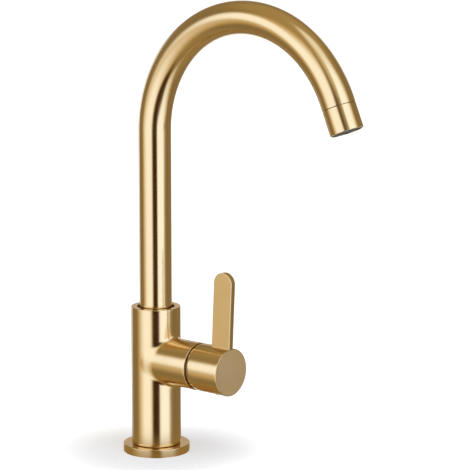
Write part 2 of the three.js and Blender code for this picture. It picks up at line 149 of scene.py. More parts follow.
def rounded(corners: Sequence[Corner], closed: bool = False, steps: int = 5) -> Profile:
    """Rounds the corners of a section with arcs.

    Formula: each arc is tangent to the two stretches that meet at its corner, so it starts
    rounding * tan(turn / 2) before the corner. A point just outside each arc keeps the flats flat.

    Args:
        corners: radius, height and rounding of each corner, in order.
        closed: whether the section closes on itself, as a ring's does.
        steps: stretches in each arc.

    Returns:
        The rounded section. A closed one ends on its first point.
    """
    given = np.array(corners, dtype=float)
    spots = given[:, :2]
    points: list[Array] = []
    masks: list[float] = []
    count = len(corners)
    for i in range(count):
        here = spots[i]
        inner = closed or 0 < i < count - 1
        if not inner or given[i, 2] <= 0:
            points.append(here)
            masks.append(0.0)
            continue
        before = here - spots[i - 1]
        after = spots[(i + 1) % count] - here
        arriving = before / np.linalg.norm(before)
        leaving = after / np.linalg.norm(after)
        turn = math.atan2(arriving[0] * leaving[1] - arriving[1] * leaving[0], float(arriving @ leaving))
        reach = given[i, 2] * math.tan(abs(turn) / 2)
        inward = np.array([-arriving[1], arriving[0]]) * math.copysign(1.0, turn)
        centre = here - arriving * reach + inward * given[i, 2]
        angles = np.linspace(0.0, abs(turn), steps + 1)[:, None]
        arc = centre + given[i, 2] * (arriving * np.sin(angles) - inward * np.cos(angles))
        spare = 0.4 * given[i, 2]
        points.append(here - arriving * max(reach, min(reach + spare, float(np.linalg.norm(before)) * 0.5)))
        points.extend(arc)
        points.append(here + leaving * max(reach, min(reach + spare, float(np.linalg.norm(after)) * 0.5)))
        masks.extend([0.0] + [1.0 if turn > 0 else 0.0] * (steps + 1) + [0.0])
    if closed:
        points.append(points[0])
        masks.append(masks[0])
    section = np.array(points)
    return Profile(section[:, 0], section[:, 1], np.array(masks))


class Skin:
    """A closed skin gathered from grids of points, sewn where their edges meet.

    Every point carries its flow, the way that brush lines run on it: the first number grows along
    the lines and the second across them, both in metres.
    """

    def __init__(self) -> None:
        """Starts an empty skin."""
        self.points: list[Array] = []
        self.flows: list[Array] = []
        self.edges: list[Array] = []
        self.satins: list[Array] = []
        self.quads: list[Array] = []
        self.total = 0

    def add(
        self, points: Array, flow: Array, edge: Array | float = 0.0, flip: bool = False, satin: float = 0.0
    ) -> None:
        """Adds a grid of points.

        Rows run along the surface and columns run round it, so that a row's direction crossed into
        by a column's points outwards; flip turns that over.

        Args:
            points: rows x columns x 3.
            flow: rows x columns x 2.
            edge: mask of rounded edges, rows x columns or one number.
            flip: whether to turn the faces over.
            satin: how much duller than its surroundings the face is brushed, from 0 to 1.
        """
        rows, columns = points.shape[:2]
        index = np.arange(rows * columns).reshape(rows, columns) + self.total
        corners = [index[:-1, :-1], index[:-1, 1:], index[1:, 1:], index[1:, :-1]]
        quads = np.stack(corners, axis=-1).reshape(-1, 4)
        self.quads.append(quads[:, ::-1] if flip else quads)
        self.points.append(points.reshape(-1, 3))
        self.flows.append(flow.reshape(-1, 2))
        self.edges.append(np.broadcast_to(edge, (rows, columns)).reshape(-1))
        self.satins.append(np.full(rows * columns, satin))
        self.total += rows * columns

    def turn(self, profile: Profile, axis: Axis, angles: Array | None = None) -> None:
        """Adds a turned face: the profile swept about an axis.

        Brush lines run round the axis, except on faces square to it, where they run straight.

        Args:
            profile: section, going round its piece with the solid on its left.
            axis: turning axis.
            angles: angles of the columns, a full turn if left out.
        """
        if angles is None:
            angles = np.linspace(0.0, TAU, ROUND + 1)
        points = axis.place(profile.radius[:, None], profile.height[:, None], angles[None, :])
        along = np.broadcast_to(profile.lengths()[:, None], points.shape[:2])
        around = angles[None, :] * max(float(profile.radius.max()), MM)
        flow = np.stack([np.broadcast_to(around, points.shape[:2]), along], axis=-1)
        self.add(points, flow, profile.edge[:, None])

    def close(self, name: str) -> bpy.types.Object:
        """Sews the grids together and makes the object.

        Points that fall on the same spot become one, and quads that lose a side become triangles.

        Args:
            name: the piece's name.

        Returns:
            The new object, at the origin, with a flow map and an edge attribute.
        """
        points = np.concatenate(self.points)
        quads = np.concatenate(self.quads)
        steps = np.round(points / SEW).astype(np.int64)
        _, first, merged = np.unique(steps, axis=0, return_index=True, return_inverse=True)
        merged = merged.reshape(-1)
        corners = merged[quads]
        keep = corners != np.roll(corners, -1, axis=1)
        whole = keep.sum(axis=1) >= 3
        keep = keep[whole]
        sizes = keep.sum(axis=1)
        vertex_of = corners[whole][keep]
        source_of = quads[whole][keep]
        edge, satin = np.zeros(len(first)), np.zeros(len(first))
        np.maximum.at(edge, merged, np.concatenate(self.edges))
        np.maximum.at(satin, merged, np.concatenate(self.satins))

        mesh = bpy.data.meshes.new(name)
        mesh.vertices.add(len(first))
        mesh.vertices.foreach_set("co", points[first].astype(np.float32).ravel())
        mesh.loops.add(len(vertex_of))
        mesh.loops.foreach_set("vertex_index", vertex_of.astype(np.int32))
        mesh.polygons.add(len(sizes))
        mesh.polygons.foreach_set("loop_start", np.concatenate([[0], np.cumsum(sizes)[:-1]]).astype(np.int32))
        mesh.update(calc_edges=True)
        flow_map = mesh.uv_layers.new(name="flow")
        flow_map.data.foreach_set("uv", np.concatenate(self.flows)[source_of].astype(np.float32).ravel())
        mesh.attributes.new("edge", "FLOAT", "POINT").data.foreach_set("value", edge.astype(np.float32))
        mesh.attributes.new("satin", "FLOAT", "POINT").data.foreach_set("value", satin.astype(np.float32))
        mesh.validate()
        mesh.shade_smooth()
        piece = bpy.data.objects.new(name, mesh)
        bpy.context.scene.collection.objects.link(piece)
        return piece


def turned(
    name: str, corners: Sequence[Corner], axis: Axis, closed: bool = False, sides: int = ROUND
) -> bpy.types.Object:
    """Makes a turned piece from the corners of its section.

    Args:
        name: the piece's name.
        corners: section, with the solid on its left.
        axis: turning axis.
        closed: whether the section closes on itself.
        sides: flats round the piece.

    Returns:
        The new object.
    """
    skin = Skin()
    skin.turn(rounded(corners, closed), axis, np.linspace(0.0, TAU, sides + 1))
    return skin.close(name)


def rod(radius: float, low: float, high: float, rounding: float = 0.0) -> list[Corner]:
    """Section of a plain rod between two stations."""
    return [(0.0, low, 0.0), (radius, low, rounding), (radius, high, rounding), (0.0, high, 0.0)]


def ring(inner: float, outer: float, low: float, high: float, rounding: float = 0.0) -> list[Corner]:
    """Section of a plain ring between two stations."""
    return [(inner, low, rounding), (outer, low, rounding), (outer, high, rounding), (inner, high, rounding)]


def bar(name: str, low: Sequence[float], high: Sequence[float]) -> bpy.types.Object:
    """Makes a square bar between two corners, for cutting a bore.

    Args:
        name: object name.
        low: lowest corner.
        high: highest corner.

    Returns:
        The new object.
    """
    mesh = bpy.data.meshes.new(name)
    shape = bmesh.new()
    bmesh.ops.create_cube(shape, size=1.0)
    shape.to_mesh(mesh)
    shape.free()
    corners = np.empty(len(mesh.vertices) * 3, dtype=np.float32)
    mesh.vertices.foreach_get("co", corners)
    spots = corners.reshape(-1, 3) * (np.array(high) - np.array(low)) + (np.array(high) + np.array(low)) / 2
    mesh.vertices.foreach_set("co", spots.astype(np.float32).ravel())
    piece = bpy.data.objects.new(name, mesh)
    bpy.context.scene.collection.objects.link(piece)
    return piece


class Join(Enum):
    """How a tool piece meets its workpiece."""

    ADD = "UNION"
    CUT = "DIFFERENCE"


def machined(piece: bpy.types.Object, tools: Sequence[tuple[Join, bpy.types.Object]]) -> bpy.types.Object:
    """Joins tool pieces to a workpiece or cuts them from it, and removes the tools.

    Args:
        piece: the workpiece, which keeps its name.
        tools: how each tool meets it, and the tool.

    Returns:
        The workpiece with its new mesh.
    """
    for join, tool in tools:
        boolean = piece.modifiers.new("machine", "BOOLEAN")
        boolean.operation = join.value
        boolean.solver = "EXACT"
        boolean.object = tool
        evaluated = piece.evaluated_get(bpy.context.evaluated_depsgraph_get())
        made = bpy.data.meshes.new_from_object(evaluated)
        piece.modifiers.clear()
        old = piece.data
        piece.data = made
        made.name = piece.name
        bpy.data.meshes.remove(old)
        bpy.data.objects.remove(tool)
        weld(made)
    piece.data.set_sharp_from_angle(angle=CREASE)
    return piece


# ---------------------------------------------------------------------------------------------
# Finishes
# ---------------------------------------------------------------------------------------------


@dataclass(frozen=True)
class Sums:
    """Writes sums as shader nodes. Each term is a socket or a plain number."""

    tree: bpy.types.NodeTree

    def feed(self, socket: Socket, value: "Socket | float | Sequence[float]") -> None:
        """Links a socket to an input, or sets the input's own value."""
        if isinstance(value, Socket):
            self.tree.links.new(value, socket)
        else:
            socket.default_value = value

    def node(self, kind: str, inputs: dict, **settings: object) -> bpy.types.Node:
        """Adds a node.

        Args:
            kind: the node's type.
            inputs: what goes into each input, by the input's name or number.
            settings: the node's own settings.

        Returns:
            The node.
        """
        made = self.tree.nodes.new("ShaderNode" + kind)
        for setting, value in settings.items():
            setattr(made, setting, value)
        for label, value in inputs.items():
            self.feed(made.inputs[label], value)
        return made

    def math(self, operation: str, *terms: "Socket | float", use_clamp: bool = False) -> Socket:
        """One Math node with the given operation and terms."""
        return self.node("Math", dict(enumerate(terms)), operation=operation, use_clamp=use_clamp).outputs[0]

    def dot(self, vector: Socket, other: Sequence[float]) -> Socket:
        """Dot product of a vector with a fixed one."""
        return self.node("VectorMath", {0: vector, 1: tuple(other)}, operation="DOT_PRODUCT").outputs["Value"]

    def distance(self) -> Socket:
        """Distance from the object's origin."""
        spot = self.node("TexCoord", {}).outputs["Object"]
        return self.node("VectorMath", {0: spot}, operation="LENGTH").outputs["Value"]

    def ramp(self, value: Socket, full: float, end: float) -> Socket:
        """Smooth step from 1 where the value is full to 0 where it ends."""
        inputs = {"Value": value, "From Min": end, "From Max": full}
        return self.node("MapRange", inputs, interpolation_type="SMOOTHSTEP").outputs["Result"]

    def mix(
        self, mask: Socket, first: "Socket | Sequence[float]", second: "Socket | Sequence[float]"
    ) -> Socket:
        """Mixes two colours by a mask."""
        node = self.node("Mix", {"Factor": mask}, data_type="RGBA")
        for label, colour in (("A", first), ("B", second)):
            socket = next(one for one in node.inputs if one.name == label and one.type == "RGBA")
            self.feed(socket, colour if isinstance(colour, Socket) else (*colour, 1.0))
        return next(one for one in node.outputs if one.type == "RGBA")


def node_group(
    name: str, inputs: dict[str, tuple[str, float]], outputs: Sequence[str]
) -> bpy.types.NodeTree:
    """Starts a shader node group.

    Args:
        name: the group's name.
        inputs: name of each input, with its socket type and default.
        outputs: names of the outputs, all plain values.

    Returns:
        The group, with its input and output nodes in place.
    """
    group = bpy.data.node_groups.new(name, "ShaderNodeTree")
    for label, (kind, value) in inputs.items():
        socket = group.interface.new_socket(label, in_out="INPUT", socket_type=kind)
        if kind == "NodeSocketFloat":
            socket.default_value = value
    for label in outputs:
        group.interface.new_socket(label, in_out="OUTPUT", socket_type="NodeSocketFloat")
    group.nodes.new("NodeGroupInput").name = "in"
    group.nodes.new("NodeGroupOutput").name = "out"
    return group


def brush_lines() -> bpy.types.NodeTree:
    """Fine lines that a brushing wheel leaves, stretched along the flow map.

    Returns:
        The group. Lines is a height from 0 to 1, and Patches is a slow change of tone from 0 to 1.
    """
    group = node_group(
        "brush_lines",
        {
            "Flow": ("NodeSocketVector", 0.0),
            "Lines per metre": ("NodeSocketFloat", 3500.0),
            "Line length": ("NodeSocketFloat", 60.0),
            "Patches per metre": ("NodeSocketFloat", 45.0),
        },
        ["Lines", "Patches"],
    )
    sums = Sums(group)
    given, sink = group.nodes["in"].outputs, group.nodes["out"].inputs
    shorter = sums.math("DIVIDE", given["Lines per metre"], given["Line length"])
    stretch = sums.node("CombineXYZ", {"X": shorter, "Y": given["Lines per metre"]}).outputs["Vector"]
    scaled = sums.node("VectorMath", {0: given["Flow"], 1: stretch}, operation="MULTIPLY").outputs["Vector"]
    lines = {"Vector": scaled, "Scale": 1.0, "Detail": 2.0}
    patches = {"Vector": given["Flow"], "Scale": given["Patches per metre"], "Detail": 2.0}
    for label, inputs in (("Lines", lines), ("Patches", patches)):
        sums.feed(sink[label], sums.node("TexNoise", inputs, noise_dimensions="2D").outputs["Fac"])
    return group


def handling_wear() -> bpy.types.NodeTree:
    """Dull marks from handling, in the space of the whole object.

    Returns:
        The group. Marks is a mask from 0 to 1 and Grain a fine height from 0 to 1.
    """
    group = node_group(
        "handling_wear",
        {"Place": ("NodeSocketVector", 0.0), "Marks per metre": ("NodeSocketFloat", 30.0)},
        ["Marks", "Grain"],
    )
    sums = Sums(group)
    given, sink = group.nodes["in"].outputs, group.nodes["out"].inputs
    inputs = {"Vector": given["Place"], "Scale": given["Marks per metre"], "Detail": 4.0, "Roughness": 0.6}
    marks = sums.node("TexNoise", inputs).outputs["Fac"]
    spread = sums.node("MapRange", {"Value": marks, "From Min": 0.38, "From Max": 0.68})
    grain = sums.node("TexNoise", {"Vector": given["Place"], "Scale": 2200.0, "Detail": 2.0})
    sums.feed(sink["Marks"], spread.outputs["Result"])
    sums.feed(sink["Grain"], grain.outputs["Fac"])
    return group


# rounded edges lighten by this much: partly edge wear, partly a painted sheen
EDGE_SHINE = 0.35  # how far a rounded edge goes towards a finish's second colour


@dataclass(frozen=True)
class Finish:
    """A finish of the tap: its colour, gloss and fine texture."""

    name: str
    slot: str
    colour: tuple[float, float, float]
    second_colour: tuple[float, float, float]
    metallic: float
    roughness: float
    roughness_change: float
    relief: float
    brushed: bool = False
    anisotropy: float = 0.0
    satin: float = 0.0

    def material(self, groups: dict[str, bpy.types.NodeTree]) -> bpy.types.Material:
        """Builds the finish's material.

        Args:
            groups: the shared node groups by name.

        Returns:
            The material.
        """
        made = bpy.data.materials.new(self.name)
        made.use_nodes = True
        sums = Sums(made.node_tree)
        shader = made.node_tree.nodes["Principled BSDF"]
        shader.inputs["Metallic"].default_value = self.metallic
        shader.inputs["Anisotropic"].default_value = self.anisotropy
        shader.inputs["Anisotropic Rotation"].default_value = 0.25
        place = sums.node("TexCoord", {}).outputs["Object"]
        wear = sums.node("Group", {}, node_tree=groups["handling_wear"])
        sums.feed(wear.inputs["Place"], place)
        tone, height = wear.outputs["Marks"], wear.outputs["Grain"]
        if self.brushed:
            tone, height = self.brushing(sums, groups["brush_lines"])
        sums.feed(shader.inputs["Base Color"], sums.mix(tone, self.colour, self.second_colour))
        smooth, dull = self.roughness - self.roughness_change, self.roughness + self.roughness_change
        gloss = sums.node("MapRange", {"Value": wear.outputs["Marks"], "To Min": smooth, "To Max": dull})
        satin = sums.node("Attribute", {}, attribute_name="satin").outputs["Fac"]
        roughness = sums.math("MULTIPLY_ADD", satin, self.satin, gloss.outputs["Result"])
        sums.feed(shader.inputs["Roughness"], roughness)
        bump = sums.node("Bump", {"Strength": 1.0, "Distance": self.relief, "Height": height})
        sums.feed(shader.inputs["Normal"], bump.outputs["Normal"])
        return made

    def brushing(self, sums: Sums, lines_group: bpy.types.NodeTree) -> tuple[Socket, Socket]:
        """Adds brush lines along the piece's flow map, with rounded edges lighter: partly edge wear, partly a
        painted sheen.

        Args:
            sums: writes the nodes of the material being built.
            lines_group: the shared brush lines.

        Returns:
            The tone that mixes the two colours, and the height of the lines.
        """
        lines = sums.node("Group", {}, node_tree=lines_group)
        sums.feed(lines.inputs["Flow"], sums.node("UVMap", {}, uv_map="flow").outputs["UV"])
        tangent = sums.node("Tangent", {}, direction_type="UV_MAP", uv_map="flow")
        shader = sums.tree.nodes["Principled BSDF"]
        sums.feed(shader.inputs["Tangent"], tangent.outputs["Tangent"])
        edge = sums.node("Attribute", {}, attribute_name="edge").outputs["Fac"]
        # rounded edges lighten towards the second colour: partly edge wear, partly a painted sheen
        sheen_and_wear = sums.math("MULTIPLY_ADD", edge, EDGE_SHINE, lines.outputs["Patches"], use_clamp=True)
        return sheen_and_wear, lines.outputs["Lines"]


BRUSHED_GOLD = Finish(
    "brushed_gold",
    "brushed_gold",
    (0.81, 0.585, 0.28),
    (0.84, 0.61, 0.305),
    metallic=1.0,
    roughness=0.19,
    roughness_change=0.02,
    relief=0.0014 * MM,
    brushed=True,
    anisotropy=0.4,
    satin=0.2,
)
TURNED_BRASS = Finish(
    "turned_brass", "raw_brass", (0.70, 0.50, 0.22), (0.55, 0.37, 0.16), 1.0, 0.36, 0.08, 0.01 * MM
)
ZINC_STEEL = Finish(
    "zinc_steel", "steel", (0.62, 0.63, 0.64), (0.45, 0.46, 0.47), 1.0, 0.34, 0.08, 0.01 * MM
)
BLACK_RUBBER = Finish(
    "black_rubber", "rubber", (0.018, 0.018, 0.018), (0.035, 0.035, 0.034), 0.0, 0.72, 0.1, 0.03 * MM
)
DARK_MOULDING = Finish(
    "dark_moulding", "dark_plastic", (0.028, 0.027, 0.025), (0.045, 0.044, 0.042), 0.0, 0.45, 0.08, 0.02 * MM
)
GREY_MOULDING = Finish(
    "grey_moulding", "dark_plastic", (0.088, 0.075, 0.056), (0.065, 0.056, 0.044), 0.0, 0.38, 0.06, 0.02 * MM
)
WHITE_MOULDING = Finish(
    "white_moulding", "white_plastic", (0.70, 0.69, 0.64), (0.62, 0.61, 0.56), 0.0, 0.42, 0.08, 0.02 * MM
)
LAPPED_CERAMIC = Finish(
    "lapped_ceramic", "ceramic", (0.80, 0.79, 0.75), (0.74, 0.73, 0.69), 0.0, 0.16, 0.04, 0.004 * MM
)
FINISHES = (
    BRUSHED_GOLD,
    TURNED_BRASS,
    ZINC_STEEL,
    BLACK_RUBBER,
    GREY_MOULDING,
    DARK_MOULDING,
    WHITE_MOULDING,
    LAPPED_CERAMIC,
)


class Wardrobe:
    """Holds the materials, and dresses pieces and frame nodes in them."""

    def __init__(self) -> None:
        """Builds the shared groups and every finish."""
        groups = {"brush_lines": brush_lines(), "handling_wear": handling_wear()}
        self.materials = {finish.name: finish.material(groups) for finish in FINISHES}
        self.by_slot = {finish.slot: finish for finish in FINISHES}

    def dress(self, piece: bpy.types.Object, finish: Finish, body: str, *nodes: str) -> None:
        """Gives a new piece its finish, its body and the frame nodes that it stands for.

        Args:
            piece: the new piece.
            finish: its finish.
            body: the body it rides on.
            nodes: the frame nodes it replaces.
        """
        piece.data.materials.clear()
        piece.data.materials.append(self.materials[finish.name])
        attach(piece, body)
        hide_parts(*nodes)
        log.info("%s: %d faces on %s", piece.name, len(piece.data.polygons), body)

    def dress_frame(self) -> None:
        """Gives every frame node the finish of its slot."""
        for row in frame["record"]["subparts"]:
            node = frame["nodes"][row["node"]]
            finish = self.by_slot[row["material_slot"]]
            plain = replace(finish, name=finish.name + "_plain", brushed=False, anisotropy=0.0)
            if plain.name not in self.materials:
                groups = {"handling_wear": bpy.data.node_groups["handling_wear"]}
                self.materials[plain.name] = plain.material(groups)
            node.data.materials.clear()
            node.data.materials.append(self.materials[plain.name])


# ---------------------------------------------------------------------------------------------
# Shared places, from the frame
# ---------------------------------------------------------------------------------------------


def joint_place(name: str) -> Vector:
    """Where a joint's axis passes, from the record."""
    joint = next(row for row in frame["record"]["behaviour"]["joints"] if row["name"] == name)
    return Vector(joint["pos_m"])


VALVE_PIVOT = joint_place("lever_tilt")
UPRIGHT = Axis((0.0, 0.0, 0.0), (0.0, 0.0, 1.0), (1.0, 0.0, 0.0))
VALVE = Axis((0.0, 0.0, VALVE_PIVOT.z), (1.0, 0.0, 0.0), (0.0, 0.0, 1.0))
EDGE = 0.4 * MM


# ---------------------------------------------------------------------------------------------
# Body
# ---------------------------------------------------------------------------------------------


@dataclass(frozen=True)
class MixerBody:
    """The casting: an upright column with the valve socket growing out of its side."""

    radius: float = 21.5 * MM
    foot_radius: float = 18.2 * MM
    seat: float = 7.3 * MM
    seat_rounding: float = 0.7 * MM
    bore: float = 16.3 * MM
    bore_floor: float = 105.0 * MM
    socket_radius: float = 20.5 * MM
    blend: float = 3.0 * MM
    chamber: float = 17.6 * MM
    nut_bore: float = 18.4 * MM
    nut_step: float = 40.0 * MM
    chamber_floor: float = 22.0 * MM
    hose_offset: float = 9.5 * MM
    top: float = field(default_factory=lambda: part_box("mixer_body")[1].z)
    socket_end: float = field(default_factory=lambda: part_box("mixer_body")[1].x)

    def depth(self, points: Array) -> Array:
        """Distance outside the blended wall.

        Formula: the lesser of the distances to the column and to the socket, lowered where they are
        nearly equal by a parabola of their difference. The blend is wide where the two walls run
        nearly alike, at the socket's sides, and tight where they cross square, above and below.

        Args:
            points: any shape, with the coordinates last.

        Returns:
            Signed distance, positive outside.
        """
        x, y, z = points[..., 0], points[..., 1], points[..., 2] - VALVE_PIVOT.z
        to_column = np.hypot(x, y) - self.radius
        to_socket = np.sqrt(np.minimum(x, 0.0) ** 2 + y * y + z * z) - self.socket_radius
        fade = np.clip((x + 4 * MM) / (10 * MM), 0.0, 1.0)
        blend = self.blend * fade * fade * (3 - 2 * fade) + 1.0e-9
        overlap = np.maximum(blend - np.abs(to_column - to_socket), 0.0)
        return np.minimum(to_column, to_socket) - overlap**2 / (4 * blend)

    def settled(self, points: Array) -> Array:
        """Moves points onto the blended wall along its slope, by Newton steps.

        Args:
            points: any shape, with the coordinates last.

        Returns:
            The moved points.
        """
        small = 1.0e-6
        for _ in range(5):
            slope = np.stack(
                [
                    (self.depth(points + small * unit) - self.depth(points - small * unit)) / (2 * small)
                    for unit in np.eye(3)
                ],
                axis=-1,
            )
            steepness = np.maximum((slope**2).sum(axis=-1, keepdims=True), 0.25)
            points = points - self.depth(points)[..., None] * slope / steepness
        return points

    def border(self) -> tuple[Array, Array, Array]:
        """The edge of the column's wall, unrolled flat, going round the valve.

        It starts below the valve, and runs along the bottom edge, up the back, along the top edge,
        down the back and home along the bottom. The back line is met from both sides.

        Returns:
            Distance round the column, height, and the angle about the valve of each point.
        """
        half = math.pi * self.radius
        low, high = self.seat + self.seat_rounding, self.top - EDGE
        across = np.linspace(-half, half, ROUND + 1)
        up = np.linspace(low, high, 57)
        middle = ROUND // 2
        round_it = np.concatenate(
            [across[middle:], np.full(55, half), across[::-1], np.full(55, -half), across[: middle + 1]]
        )
        height = np.concatenate(
            [
                np.full(middle + 1, low),
                up[1:-1],
                np.full(ROUND + 1, high),
                up[-2:0:-1],
                np.full(middle + 1, low),
            ]
        )
        angle = np.arctan2(-round_it, height - VALVE_PIVOT.z)
        angle[0], angle[-1] = -math.pi, math.pi
        return round_it, height, angle

    def wall(self, skin: Skin) -> Array:
        """Adds the outside: the socket, the fillet and the column.

        Formula: for each angle about the valve, points run down the socket to the line where the two
        cylinders meet, then straight over the unrolled column to its edge. Points near that line sit
        close together and are settled onto the fillet.

        Args:
            skin: the skin to add to.

        Returns:
            The angles of the columns, for the socket's end.
        """
        round_it, height, angle = self.border()
        steps = np.array([0.0, 0.1, 0.2, 0.3, 0.4, 0.52, 0.64, 0.76, 0.88, 1.0, 1.15, 1.35, 1.7]) * self.blend
        side = -self.socket_radius * np.sin(angle)
        meet_x = np.sqrt(self.radius**2 - side**2)
        meet_z = VALVE_PIVOT.z + self.socket_radius * np.cos(angle)
        alike = side**2 / (self.radius * self.socket_radius)
        near = steps[:, None] / np.sqrt(1.0 - alike**2)
        rim = self.socket_end - EDGE
        inward = meet_x + near
        outer = inward[-1] + (rim - inward[-1]) * np.linspace(0.0, 1.0, 12)[1:, None]
        reach = np.concatenate([inward, outer])
        socket = np.stack(np.broadcast_arrays(reach, side[None, :], meet_z[None, :]), axis=-1)
        flow = np.stack(np.broadcast_arrays(self.socket_radius * angle[None, :], reach), axis=-1)
        skin.add(self.settled(socket), flow)

        meet_round = self.radius * np.arcsin(side / self.radius)
        way = np.stack([round_it - meet_round, height - meet_z], axis=-1)
        length = np.linalg.norm(way, axis=-1)
        share = near / length
        far = share[-1] + (1.0 - share[-1]) * np.linspace(0.0, 1.0, 34)[1:, None] ** 1.15
        share = np.concatenate([share, far])
        around = meet_round + share * way[:, 0]
        level = meet_z + share * way[:, 1]
        column = np.stack(
            [self.radius * np.cos(around / self.radius), self.radius * np.sin(around / self.radius), level],
            axis=-1,
        )
        skin.add(self.settled(column), np.stack([around, level], axis=-1), flip=True)
        return angle

    def build(self) -> bpy.types.Object:
        """Builds the body with its bores.

        Returns:
            The finished piece.
        """
        skin = Skin()
        angle = self.wall(skin)
        turn = np.linspace(-math.pi, math.pi, ROUND + 1)
        socket_mouth = rounded([
            (self.socket_radius, self.socket_end - EDGE, 0.0),
            (self.socket_radius, self.socket_end, EDGE),
            (self.nut_bore, self.socket_end, 0.3 * MM),
            (self.nut_bore, self.nut_step, 0.0),
            (self.chamber, self.nut_step, 0.0),
            (self.chamber, self.chamber_floor, 0.0),
            (0.0, self.chamber_floor, 0.0),
        ])
        skin.turn(socket_mouth, VALVE, angle)
        collar = rounded([
            (self.radius, self.top - EDGE, 0.0),
            (self.radius, self.top, EDGE),
            (self.bore, self.top, 0.5 * MM),
            (self.bore, self.bore_floor, 0.0),
            (0.0, self.bore_floor, 0.0),
        ])
        skin.turn(collar, UPRIGHT, turn)
        foot = rounded([
            (0.0, 0.0, 0.0),
            (self.foot_radius, 0.0, 0.3 * MM),
            (self.foot_radius, self.seat, 0.0),
            (self.radius, self.seat, self.seat_rounding),
            (self.radius, self.seat + self.seat_rounding, 0.0),
        ])
        skin.turn(foot, UPRIGHT, turn)
        return machined(skin.close("body_casting"), [(Join.CUT, tool) for tool in self.bores()])

    def bores(self) -> list[bpy.types.Object]:
        """Rods that cut the hose sockets, stud sockets, water ports and the screw hole.

        Returns:
            The cutting pieces.
        """
        tools = []
        for side in (-1.0, 1.0):
            hose = Axis((0.0, side * self.hose_offset, 0.0), UPRIGHT.along, UPRIGHT.start)
            corners = [(0.0, -MM, 0.0), (6.5 * MM, -MM, 0.0)]
            corners += [(6.5 * MM, 36 * MM, 0.0), (4.85 * MM, 36 * MM, 0.0)]
            corners += [(4.85 * MM, 48 * MM, 0.0), (0.0, 48 * MM, 0.0)]
            tools.append(turned("cut_hose", corners, hose, sides=INNER_ROUND))
            stud = Axis((side * 13.5 * MM, 0.0, 0.0), UPRIGHT.along, UPRIGHT.start)
            tools.append(turned("cut_stud", rod(3.3 * MM, -MM, 16 * MM), stud, sides=INNER_ROUND))
        screw = Axis((0.0, 0.0, 117.3 * MM), (-1.0, 0.0, 0.0), (0.0, 1.0, 0.0))
        tools.append(turned("cut_screw", rod(2.3 * MM, 15 * MM, 23 * MM), screw, sides=INNER_ROUND))
        return tools


@dataclass(frozen=True)
class BaseFlange:
    """The round flange on the worktop, and the gasket in its groove."""

    bore: float = 18.5 * MM
    groove_inner: float = 21.5 * MM
    groove_outer: float = 27.0 * MM
    groove_depth: float = 2.2 * MM

    def build(self, wardrobe: Wardrobe) -> None:
        """Builds the flange and its gasket.

        Args:
            wardrobe: the finishes.
        """
        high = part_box("base_flange")[1]
        corners = [
            (self.bore, 0.0, 0.0),
            (self.groove_inner, 0.0, 0.2 * MM),
            (self.groove_inner, self.groove_depth, 0.0),
            (self.groove_outer, self.groove_depth, 0.0),
            (self.groove_outer, 0.0, 0.2 * MM),
            (high.x, 0.0, 0.3 * MM),
            (high.x, high.z, 0.5 * MM),
            (self.bore, high.z, 0.2 * MM),
        ]
        flange = turned("flange_ring", corners, UPRIGHT, closed=True)
        wardrobe.dress(flange, BRUSHED_GOLD, "mixer", "base_flange")
        low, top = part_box("base_gasket")
        gasket = turned("flange_gasket", ring(21.8 * MM, top.x, low.z, top.z, 0.3 * MM), UPRIGHT, closed=True)
        wardrobe.dress(gasket, BLACK_RUBBER, "mixer", "base_gasket")


# ---------------------------------------------------------------------------------------------
# Spout
# ---------------------------------------------------------------------------------------------


@dataclass(frozen=True)
class SwanNeck:
    """The bent tube: an upright leg, a round bend over the top and a short straight nose."""

    bend_radius: float = 101.8 * MM
    wall: float = 1.2 * MM
    bend_end: float = math.radians(23.0)
    nose: float = 4.5 * MM
    radius: float = field(default_factory=lambda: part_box("spout_tube")[1].y)
    foot: float = field(default_factory=lambda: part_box("spout_tube")[0].z)

    @property
    def bend_height(self) -> float:
        """Height of the bend's centre."""
        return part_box("spout_tube")[1].z - self.bend_radius - self.radius

    @property
    def length(self) -> float:
        """Length of the centre line."""
        return self.bend_height - self.foot + (math.pi - self.bend_end) * self.bend_radius + self.nose

    def centre_line(self, run: Array) -> tuple[Array, Array]:
        """The centre line at given distances from the foot.

        Formula: the angle about the bend's centre falls from half a turn to the bend's end over the
        bend, and stays put on either side. The point is the one on the bend at that angle, moved
        along its tangent by what is left of the leg or done of the nose.

        Args:
            run: distances from the foot.

        Returns:
            The points, and the angle about the bend's centre at each.
        """
        leg = self.bend_height - self.foot
        sweep = math.pi - self.bend_end
        angle = math.pi - np.clip((run - leg) / self.bend_radius, 0.0, sweep)
        spare = np.minimum(run - leg, 0.0) + np.maximum(run - leg - sweep * self.bend_radius, 0.0)
        x = self.bend_radius * (1 + np.cos(angle)) + spare * np.sin(angle)
        z = self.bend_height + self.bend_radius * np.sin(angle) - spare * np.cos(angle)
        return np.stack([x, np.zeros_like(x), z], axis=-1), angle

    def nose_axis(self) -> Axis:
        """The outlet's axis, from the end of the tube."""
        end, angle = self.centre_line(np.array([self.length]))
        return Axis(tuple(end[0]), (math.sin(angle[0]), 0.0, -math.cos(angle[0])), (0.0, 1.0, 0.0))

    def build(self) -> bpy.types.Object:
        """Builds the tube, a section carried along the centre line.

        Returns:
            The finished piece.
        """
        inner = self.radius - self.wall
        corners = [
            (inner, 0.0, 0.2 * MM),
            (self.radius, 0.0, 0.3 * MM),
            (self.radius, self.length, 0.25 * MM),
            (inner, self.length, 0.2 * MM),
        ]
        section = rounded(corners, closed=True).divided(2.0 * MM)
        centre, angle = self.centre_line(section.height)
        turn = np.linspace(0.0, TAU, 96 + 1)
        outward = np.stack([np.cos(angle), np.zeros_like(angle), np.sin(angle)], axis=-1)
        side = np.array([0.0, -1.0, 0.0])
        spread = np.cos(turn)[None, :, None] * outward[:, None, :] + np.sin(turn)[None, :, None] * side
        points = centre[:, None, :] + section.radius[:, None, None] * spread
        flow = np.stack(np.broadcast_arrays(self.radius * turn[None, :], section.height[:, None]), axis=-1)
        skin = Skin()
        skin.add(points, flow, section.edge[:, None])
        return skin.close("swan_neck_tube")


